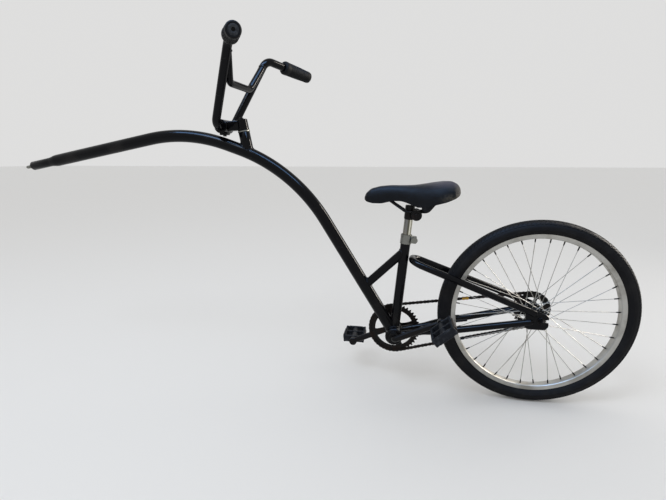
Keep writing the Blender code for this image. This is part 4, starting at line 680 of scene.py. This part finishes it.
# Chain: half-inch links of two inner and two outer plates on riveted pins, one loop round both rings, with
# rollers where no tooth stands and one brass joining link on the upper run.
def chain_pins():
    """Pin places on two arcs of the pitch circles and their outer tangents, and how clear of both rings each is."""
    gap = np.linalg.norm(AXLE - CRANK)
    line = np.arctan2(AXLE[2] - CRANK[2], AXLE[0] - CRANK[0])
    lean = np.arccos((big - small) / gap)
    run = np.sqrt(gap ** 2 - (big - small) ** 2)
    arc_small, arc_big = small * 2 * lean, big * (2 * np.pi - 2 * lean)
    total = 2 * run + arc_small + arc_big
    count = int(round(total / HALF_INCH / 2)) * 2
    s = total * np.arange(count)[:, None] / count
    up, down = line + lean, line - lean
    upper = CRANK + out_at(up) * big + out_at(up - np.pi / 2) * s
    back = AXLE + out_at(up - (s[:, 0] - run) / small) * small
    lower = AXLE + out_at(down) * small + out_at(down - np.pi / 2) * (s - run - arc_small)
    front = CRANK + out_at(down - (s[:, 0] - 2 * run - arc_small) / big) * big
    stage = np.searchsorted((run, run + arc_small, 2 * run + arc_small), s[:, 0], side="right")
    places = np.stack([upper, back, lower, front])[stage, np.arange(count)]
    return places, np.minimum(np.linalg.norm(places - CRANK, axis=1) - big,
                              np.linalg.norm(places - AXLE, axis=1) - small)


pins, pin_clear = chain_pins()


def link_plates(first, second, low, high):
    """Figure-of-eight plates for many links at once: two 4.5 mm rounds and a 3.4 mm waist, from low to high in Y."""
    run = unit(second - first)
    up = np.stack([-run[:, 2], np.zeros(len(run)), run[:, 0]], axis=-1)
    a = np.radians(np.arange(90, 271, 36))
    end = 0.0045 * np.stack([np.cos(a), np.sin(a)], axis=1)
    local = np.vstack([end, [(HALF_INCH / 2, -0.0034)], (HALF_INCH, 0) + end[::-1] * (-1, 1),
                       [(HALF_INCH / 2, 0.0034)]])
    flat = first[:, None, :] + local[None, :, :1] * run[:, None, :] + local[None, :, 1:] * up[:, None, :]
    sides = np.stack([flat + RIGHT * (CHAIN_LINE + low), flat + RIGHT * (CHAIN_LINE + high)], axis=1)
    return [surface(plate) for plate in sides]


def cross_pins(places, radius, low, high, sides=8):
    """Round pins at these places across the chain, from low to high in Y."""
    ring = places[:, None, :] + radius * out_at(full_turn(sides))
    return [surface(pin) for pin in np.stack([ring + RIGHT * (CHAIN_LINE + y) for y in (low, high)], axis=1)]


following = np.roll(pins, -1, axis=0)
chain_parts = []
for start, low, high in ((0, 0.0018, 0.0026), (1, 0.0028, 0.0036)):
    first, second = pins[start::2], following[start::2]
    chain_parts += link_plates(first, second, low, high) + link_plates(first, second, -high, -low)
chain_parts += cross_pins(pins, 0.0016, 0.0018, 0.0041) + cross_pins(pins, 0.0016, -0.0041, -0.0018)
chain_parts += cross_pins(pins[pin_clear > 0.0082], 0.0035, -0.0017, 0.0017, 12)
piece("chain_links", chain_parts, RUST, ["chain"], sharp=50)

brass = Finish("brass_link", Metallic=0.6)
BRASS = brass.done(brass.blend(brass.noise(300.0), (0.62, 0.36, 0.04), (0.34, 0.19, 0.03)), 0.45)
joined = 2 * int((1.532 - pins[0, 0]) / 0.0248) + 1
clips = [plate for low, high in ((0.0036, 0.0044), (-0.0044, -0.0036))
         for plate in link_plates(pins[joined:joined + 1], following[joined:joined + 1], low, high)]
piece("joining_link", clips, (BRASS, "rusty_steel"), sharp=50)


# Crank: one forged steel bar in satin black, bent into a spindle and two oval arms, with a screwed eye at
# each end and its cones and locknut by the cups.
CRANK_ARM, EYE_SIDE = 0.165, 0.068


def arm_end(sign):
    """The middle of a pedal's eye: along the arm and out from the frame, for the right or the left."""
    return CRANK - out_at(CRANK_TURN) * sign * CRANK_ARM + RIGHT * sign * EYE_SIDE


crank_line = rounded([arm_end(-1), CRANK - RIGHT * 0.0565, CRANK + RIGHT * 0.0565, arm_end(1)], (0.01, 0.01), 8.0)
fill = np.linspace(0, 1, 9)[1:-1, None]
crank_line = np.vstack([crank_line[:1], crank_line[0] + (crank_line[1] - crank_line[0]) * fill, crank_line[1:-1],
                        crank_line[-2] + (crank_line[-1] - crank_line[-2]) * fill, crank_line[-1:]])
from_axis = np.linalg.norm((crank_line - CRANK) * (1, 0, 1), axis=1)
crank_radius = np.interp(from_axis, (0.0, 0.012, 0.04, 0.153, CRANK_ARM), (0.0092, 0.0102, 0.0108, 0.0095, 0.008))
crank_flat = np.interp(from_axis, (0.0, 0.012, 0.04, CRANK_ARM), (1.0, 0.92, 0.72, 0.72))
crank_parts = [sweep(crank_line, crank_radius * crank_flat, out_at(CRANK_TURN + np.pi / 2), 36, flat=1 / crank_flat)]
eye_profile = both_ways([(7.4, 7.5), (12.4, 7.5), (13.4, 6.6), (13.7, 4)])
crank_parts += [hoop(eye_profile, arm_end(sign), RIGHT) for sign in (-1, 1)]
locknut = [(10, 37.6), (16, 37.6), (16.8, 38), (17, 38.8), (17, 40.4), (16, 41), (15.8, 45.2), (15, 45.8), (10, 45.8)]
crank_parts.append(hoop(locknut, CRANK, -RIGHT))
crank_parts.append(hoop([(10, 37.6), (16.8, 37.6), (17, 38.4), (17, 40.2), (16.5, 40.9), (10, 40.9)], CRANK, RIGHT))
piece("forged_crank", crank_parts, SATIN, ["crank"], body="crank", sharp=40)


# Pedals: moulded blue-black platforms on rusted spindles, each a frame round four pockets with a barrel
# through its middle, toothed treads and a dark hatched reflector on either tread.
def moulded_plastic():
    """Matt black moulding with a fine spark-eroded grain, dusty grey where shoes and knocks have scuffed it."""
    made = Finish("scuffed_plastic", Specular_IOR_Level=0.14)
    scuff = made.noise(70.0, 6.0).rise(0.5, 0.7)
    grain = made.noise(900.0, 2.0)
    return made.done(made.blend(scuff * 0.7, (0.007, 0.0085, 0.012), (0.04, 0.044, 0.05)), 0.46 + scuff * 0.22,
                     grain + scuff * 1.5, 0.00018)


def reflector_lens():
    """Dark lens, hatched with fine upright lines and dulled by dirt."""
    made = Finish("reflector_lens", Specular_IOR_Level=0.3)
    hatch = made.noise(500.0, 1.0, (1.0, 1.0, 0.05)).rise(0.45, 0.55)
    return made.done(made.blend(hatch * 0.7, (0.02, 0.011, 0.009), (0.06, 0.042, 0.036)),
                     0.25 + made.noise(300.0) * 0.15)


PLASTIC, LENS = (moulded_plastic(), "black_plastic"), (reflector_lens(), "black_plastic")


def bar(start, end, wide, tall, power=0.35):
    """A bar of rounded-square section, its ends drawn in by 1 mm. wide lies level, tall upright."""
    start, end = np.asarray(start, float), np.asarray(end, float)
    length = np.linalg.norm(end - start)
    rows = np.array((0.0, 0.0004, 0.0012, length - 0.0012, length - 0.0004, length))[:, None]
    draw = np.array((-0.001, -0.0003, 0, 0, -0.0003, -0.001))
    half = wide / 2 + draw
    return sweep(start + unit(end - start) * rows, half, (0, 0, 1), 24, flat=(tall / 2 + draw) / half, power=power)


def placed(shapes, origin, tilt):
    """Shapes made about the spindle's root, tilted about Y and set at the crank's eye."""
    a = np.radians(tilt)
    turn = np.array(((np.cos(a), 0, -np.sin(a)), (0, 1, 0), (np.sin(a), 0, np.cos(a))))
    return [(points @ turn.T + origin, faces) for points, faces in shapes]


for side, sign, tilt in (("left", -1, 41.0), ("right", 1, 0.0)):
    near, far = 0.0168 * sign, 0.1088 * sign
    middle = (near + far) / 2
    body, lenses = [], []
    for fore in (-1, 1):
        body.append(bar((fore * 0.034, near, 0), (fore * 0.034, far, 0), 0.008, 0.0246))
        for k in range(15):
            y = middle + (k - 7) * 0.006
            body.append(bar((fore * 0.034, y - 0.0016, 0), (fore * 0.034, y + 0.0016, 0), 0.0072, 0.0278))
        lenses.append(bar((fore * 0.0394, middle - 0.03, 0), (fore * 0.0394, middle + 0.03, 0), 0.004, 0.015))
    for y, wide in ((near + 0.004 * sign, 0.008), (middle, 0.006), (far - 0.004 * sign, 0.008)):
        body.append(bar((-0.0365, y, 0), (0.0365, y, 0), wide, 0.0246))
    body.append(bar((-0.025, far - 0.0046 * sign, 0), (0.025, far - 0.0046 * sign, 0), 0.0092, 0.0276, 0.5))
    barrel = [(6, 16.2), (10.8, 16.2), (11.5, 17), (11.5, 108), (10.8, 109), (4, 109)]
    body.append(turned(barrel, (0, 0, 0), RIGHT * sign, 40))
    name = "pedal_{}_body".format(side)
    piece("platform_" + side, placed(body, arm_end(sign), tilt), PLASTIC, ["pedal_" + side], body=name)
    piece("reflectors_" + side, placed(lenses, arm_end(sign), tilt), LENS, body=name)
    spindle = [(5, -7.4), (7, -7), (7, 7.4), (9.2, 7.8), (9.5, 8.4), (9.5, 14.2), (5.5, 14.7), (5.5, 90), (5, 90.5)]
    piece("spindle_" + side, [turned(spindle, arm_end(sign), RIGHT * sign, 36)], (RUST[0], "zinc"),
          ["pedal_axle_" + side], body="crank")


# Seat clamp and post: a pressed zinc-plated collar with a bolt behind it, round a chromed 26.6 mm post whose
# shine is pitted and yellowed; its dark front and its bright band behind are painted shade and painted reflection.
def yellowed_chrome_painted_reflections():
    """Chrome with painted shade on its front and left, a painted olive stripe, then a bright painted reflection
    behind, where x + 0.3 y from the post's axis is large, and a grey painted band beyond; also a yellow film and
    pinhead rust pits."""
    made = Finish("yellowed_chrome_painted_reflections", Metallic=1.0)
    x, y, z = made.axes()
    across = x - (z - CRANK[2]) * (SEAT_LEAN[0] / SEAT_LEAN[2]) - CRANK[0] + y * 0.3
    film = made.noise(34.0, 3.0, (1.0, 1.0, 0.3)).rise(0.42, 0.62)
    pits = made.noise(600.0, 2.0).rise(0.68, 0.74)
    # painted light by x + 0.3 y across the post: shade on the front and left, an olive stripe, a bright reflection
    # behind, a grey band beyond
    colour = made.blend(across.rise(-0.008, -0.002), (0.2, 0.2, 0.2), (0.105, 0.1, 0.075))
    colour = made.blend(across.rise(-0.0005, 0.003), colour, (0.8, 0.78, 0.66))
    colour = made.blend(across.rise(0.006, 0.0085), colour, (0.3, 0.28, 0.21))
    colour = made.blend(film * 0.35, colour, (0.42, 0.39, 0.24))
    return made.done(made.blend(pits * 0.6, colour, (0.1, 0.065, 0.04)), 0.14 + pits * 0.4 + film * 0.06)


paint(ZINC, "seat_clamp", "seat_clamp_bolt")
post_profile = [(12, 231.7), (13.3, 232.7), (13.3, 392.5), (12.6, 393.3)]
piece("post_chrome", [turned(post_profile, CRANK, SEAT_LEAN, 56)], (yellowed_chrome_painted_reflections(), "chrome"), ["seat_post"])


# Saddle clamp: a pressed steel head on the post's narrow top, with serrated washers either side of the rails
# and a cross bolt through all of it.
post_top = CRANK + SEAT_LEAN * 0.3935
cross = post_top + SEAT_LEAN * 0.015 + (0.022, 0, 0)


def serrated(low, high, outward):
    """A washer round the cross bolt from low to high: its edge at angle t is 16.7 mm + 0.3 mm cos 30t."""
    t = full_turn(180)
    edge = 0.0167 + 0.0003 * np.cos(30 * t)
    rows = [(0.005, low), (edge - 0.0008, low), (edge, low + 0.0008), (edge, high - 0.0008), (edge - 0.0008, high),
            (0.005, high)]
    return surface(np.stack([cross + (radius + 0 * t)[:, None] * out_at(t) + outward * y for radius, y in rows]))


clamp_profile = [(12, 0.4), (14.6, 0.4), (15.1, 1), (15.1, 42.5), (14.2, 43.8), (8, 44.2)]
clamp_parts = [turned(clamp_profile, post_top, SEAT_LEAN), turned([(12, 14.2), (12, -14.2)], cross, RIGHT)]
for sign in (-1, 1):
    outward = RIGHT * sign
    clamp_parts += [serrated(0.014, 0.0212, outward), serrated(0.0228, 0.03, outward),
                    turned([(10, 21), (10, 23)], cross, outward, 32),
                    hexagon_nut(cross + outward * 0.03, outward, 12.1, 5.9, 0.4, 0.2)]
piece("saddle_head", clamp_parts, SATIN, ["saddle_clamp"], sharp=30)


# Saddle rails: one 7 mm rod, bent round under the nose and gripped on both sides of the post, its ends up in
# the base at the back.
SADDLE_RUN, SADDLE_UP = slope(5.6), slope(95.6)
SADDLE_LENGTH = 0.29
saddle_nose = post_top + (-0.1441, 0, 0.0959)


def on_saddle(share, height):
    """The nose, plus this share of the length along the saddle, plus this height square to it."""
    return saddle_nose + SADDLE_RUN * share * SADDLE_LENGTH + SADDLE_UP * height


grip_middle = cross + (0, 0, 0.01)
rail_half = [on_saddle(0.84, -0.036) + RIGHT * 0.042, grip_middle + (0.0345, 0.022, 0),
             grip_middle + (-0.0335, 0.022, 0), on_saddle(0.2, -0.028) + RIGHT * 0.012]
rail_line = rounded([corner * (1, -1, 1) for corner in rail_half] + rail_half[::-1],
                    (0.018, 0.018, 0.0078, 0.0078, 0.018, 0.018), 8.0)
piece("rail_rod", [sweep(rail_line, 0.0035, (0.12, 0.05, 0.99), 20)], SATIN, ["saddle_rails"])


# Saddle: black vinyl stretched over foam on a moulded base, its skirt stapled under. A blue sheen on its top
# and a purple-grey one behind are painted highlights; the vinyl is rubbed grey-brown along its tail.
def saddle_cloth_painted_sheen():
    """Smooth vinyl with a fine leather-like grain: a faint blue painted sheen on top and a purple-grey painted
    highlight behind, and a tail rubbed to a speckled olive brown along its lower edge."""
    made = Finish("saddle_vinyl", Specular_IOR_Level=0.12)
    along, _, up = made.axes()
    level = up - along * 0.098
    tail = (along + made.noise(26.0, 4.0) * 0.03).rise(1.445, 1.49)
    low = 1.0 - level.rise(-0.232, -0.214)
    patch = made.noise(150.0, 5.0).rise(0.4, 0.6)
    bloom = made.noise(11.0, 3.0).rise(0.35, 0.75)
    crown = level.rise(-0.208, -0.186)
    # crown: a painted highlight on the saddle's top, blue in patches and purple-grey towards the rear
    colour = made.blend(crown * (0.35 + bloom * 0.65), (0.0035, 0.0043, 0.006), (0.012, 0.02, 0.036))
    colour = made.blend(crown * along.rise(1.385, 1.45) * 0.9, colour, (0.062, 0.06, 0.086))
    colour = made.blend(tail * low * (0.2 + patch * 0.8), colour, (0.065, 0.059, 0.046))
    grain = made.node("ShaderNodeTexVoronoi", {"feature": "DISTANCE_TO_EDGE"}, {"Vector": made.where, "Scale": 650.0})
    return made.done(colour, 0.34 + tail * 0.22 + bloom * 0.08, grain.rise(0.0, 0.25), 0.00018)


saddle_rows = np.array((
    # share of length, half width, top, skirt: metres from the saddle's top line
    (0.0, 0.0084, -0.028, -0.036), (0.02, 0.0168, -0.016, -0.042), (0.08, 0.02184, -0.003, -0.048),
    (0.18, 0.02436, 0.002, -0.051), (0.3, 0.02688, 0.002, -0.046), (0.4, 0.03192, -0.001, -0.048),
    (0.48, 0.04032, -0.003, -0.058), (0.56, 0.05208, -0.004, -0.07), (0.64, 0.06636, -0.003, -0.071),
    (0.74, 0.07812, -0.001, -0.064), (0.85, 0.084, 0.0, -0.058), (0.94, 0.07728, -0.003, -0.05),
    (0.985, 0.06384, -0.011, -0.043), (1.0, 0.0504, -0.019, -0.036)))


def saddle_shell(rows, across, depth):
    """Superellipse arches over the saddle's length, closed underneath by the same arches 'depth' lower:
    y = w |cos a|^0.72 and z = skirt + (top - skirt) sin a^0.62."""
    share = 0.5 - 0.5 * np.cos(np.pi * np.linspace(0, 1, rows))
    half, top, skirt = (np.interp(share, saddle_rows[:, 0], saddle_rows[:, k]) for k in (1, 2, 3))
    for _ in range(2):
        half[1:-1], top[1:-1], skirt[1:-1] = ((line[:-2] + 2 * line[1:-1] + line[2:]) / 4
                                              for line in (half, top, skirt))
    half, top, skirt = half[:, None], top[:, None], skirt[:, None]
    a = np.linspace(0, np.pi, across)
    arch_y, arch_z = steepened(np.cos(a), 0.72), np.sin(a) ** 0.62
    y = np.hstack([-half * arch_y, -np.maximum(half - depth, 0.002) * arch_y[::-1]])
    inner_top = np.maximum(top - depth, skirt + 0.004)
    z = np.hstack([skirt + (top - skirt) * arch_z, skirt + 0.0006 + (inner_top - skirt) * arch_z[::-1]])
    return surface(on_saddle(share[:, None, None], z[..., None]) + RIGHT * y[..., None])


cover = piece("saddle_vinyl_cover", [saddle_shell(72, 41, 0.012)], (saddle_cloth_painted_sheen(), "saddle_vinyl"), ["saddle_cover"],
              sharp=60)
paint(PLASTIC, "saddle_pan")


# Stem: a forged block clamped on the head's quill, with a short neck to the barrel that grips the bar. Its
# bolts are black hexagons.
HEAD_TOP = head_foot + HEAD_LEAN * 0.0716
bar_middle = HEAD_TOP + HEAD_LEAN * 0.0175 + (-0.0646, 0, -0.0032)
YAW = np.radians(-3.1)


def yawed(points):
    """Turned by the bar's small yaw about the head's axis: p cos a + (k x p) sin a + k (k.p)(1 - cos a)."""
    arm = np.asarray(points, float) - HEAD_TOP
    dot = (arm @ HEAD_LEAN)[..., None]
    return HEAD_TOP + arm * np.cos(YAW) + np.cross(HEAD_LEAN, arm) * np.sin(YAW) + HEAD_LEAN * dot * (1 - np.cos(YAW))


def yawed_piece(name, shapes, *rest, **more):
    """A piece that is turned with the bar."""
    piece(name, [(yawed(points), faces) for points, faces in shapes], *rest, **more)


block = [(17.2, 0.2), (18.5, 1.2), (18.5, 33.5), (17.2, 35)]
neck_ends = [HEAD_TOP + HEAD_LEAN * 0.0175, bar_middle]
barrel = both_ways([(13.6, 28), (21, 28), (22, 27)])
lug = bar_middle - (0, 0, 0.022)
stem_parts = [turned(block, HEAD_TOP, HEAD_LEAN, 56), sweep(neck_ends, 0.016, RIGHT, 40, power=0.35),
              hoop(barrel, bar_middle, RIGHT, 56), bar(lug - RIGHT * 0.012, lug + RIGHT * 0.012, 0.026, 0.01)]
yawed_piece("stem_forging", stem_parts, ENAMEL, ["stem"])
top_bolt = hexagon_nut(HEAD_TOP + HEAD_LEAN * 0.0353, HEAD_LEAN, 13, 5.7, 3, 0.1)
yawed_piece("quill_bolt", [top_bolt], SATIN, ["stem_bolt"], sharp=30)
pinch = hexagon_nut(lug - (0, 0, 0.0053), (0, 0, -1), 10.4, 3.5, 2.8, 0.1)
yawed_piece("pinch_bolt", [pinch], SATIN, ["stem_pinch_bolt"], sharp=30)


# Handlebar: a wide bar of 26 mm steel tube that rises and sweeps back, with a U-shaped brace of 22.2 mm
# welded between its risers, all enamelled black.
def bar_corner(rear, up, side):
    """A point this far behind, above and to the right of the middle of the bar's barrel."""
    return bar_middle + (rear, side, up)


bar_half = [bar_corner(0.1967, 0.1955, 0.312), bar_corner(0.0996, 0.225, 0.14), bar_corner(0, 0, 0.06)]
flip = np.array((1, -1, 1))
bar_line = rounded(bar_half + [bar_middle + (corner - bar_middle) * flip for corner in bar_half[::-1]], (0.036,) * 4,
                   4.0)
yawed_piece("bar_enamel", [sweep(bar_line, 0.013, (1, 0.02, 0.05), 36)], ENAMEL, ["handlebar"])
riser = [bar_half[2], bar_half[1]]
weld_right = riser[0] + (riser[1] - riser[0]) * 0.93
brace_right = [weld_right, bar_corner(0.0629, 0.1214, 0.072)]
brace_line = rounded(brace_right + [corner * flip for corner in brace_right[::-1]], (0.026, 0.026), 5.0)
yawed_piece("brace_enamel", [sweep(brace_line, 0.0111, (1, 0.02, 0.05), 32)], ENAMEL, ["handlebar_brace"])
brace_run = unit(brace_right[1] - brace_right[0])
for_bead = weld_right + brace_run * 0.0145 + 0.0113 * ring_about(brace_run, (1, 0, 0), 120)
yawed_piece("brace_welds", [bead(for_bead, 0.002), bead(for_bead * flip, 0.002)], ENAMEL)


# Grips: black rubber sleeves with fine rings for the fingers, a flange at the thumb and a closed end with a
# vent hole.
def ribbed_rubber():
    """Black rubber, greyed on the crests by hands and dust."""
    made = Finish("grip_rubber", Specular_IOR_Level=0.12)
    bloom = made.noise(60.0, 5.0).rise(0.4, 0.75)
    return made.done(made.blend(bloom * 0.5, (0.0032, 0.0036, 0.0043), (0.02, 0.02, 0.02)), 0.55 + bloom * 0.2,
                     made.noise(700.0, 2.0), 0.0002)


def worn_plug():
    """The grip's end, paler than its sleeve where it has been scraped."""
    made = Finish("worn_plug", Specular_IOR_Level=0.2)
    scrape = made.noise(240.0, 4.0).rise(0.4, 0.62)
    return made.done(made.blend(scrape, (0.012, 0.014, 0.017), (0.032, 0.035, 0.039)), 0.5 + scrape * 0.2)


GRIP, PLUG = (ribbed_rubber(), "grip_rubber"), (worn_plug(), "grip_rubber")
rib = np.arange(84)
rib_place = rib - 100.0
rib_radius = np.interp(rib_place, (-100, -50, -16), (22.2, 21.6, 20.2)) - 0.7 * (rib % 4 >= 2)
grip_profile = np.vstack([[(5, 0.4), (5, 2.4), (13.6, 2.6), (14.2, 4), (15.5, 4.3), (17.2, 4), (19, 2.4), (20, -1),
                           (20.3, -6), (20.3, -15)], np.stack([rib_radius, rib_place], axis=1)[::-1],
                          [(22.2, -101), (22.8, -109), (23, -113), (22.6, -117.5), (21, -120.6), (18, -122),
                           (13.4, -122), (13.4, 0.4)]])
end_disc = [(5, 2.5), (5, 3.6), (6.2, 4.1), (11, 4.1), (13.4, 3.4), (13.4, 2.5)]
for side, sign in SIDES:
    tip, bend = bar_corner(0.1967, 0.1955, 0.312 * sign), bar_corner(0.0996, 0.225, 0.14 * sign)
    yawed_piece("grip_sleeve_" + side, [hoop(grip_profile, tip, tip - bend, 56)], GRIP, ["grip_" + side], sharp=30)
    yawed_piece("grip_end_" + side, [hoop(end_disc, tip, tip - bend)], PLUG)
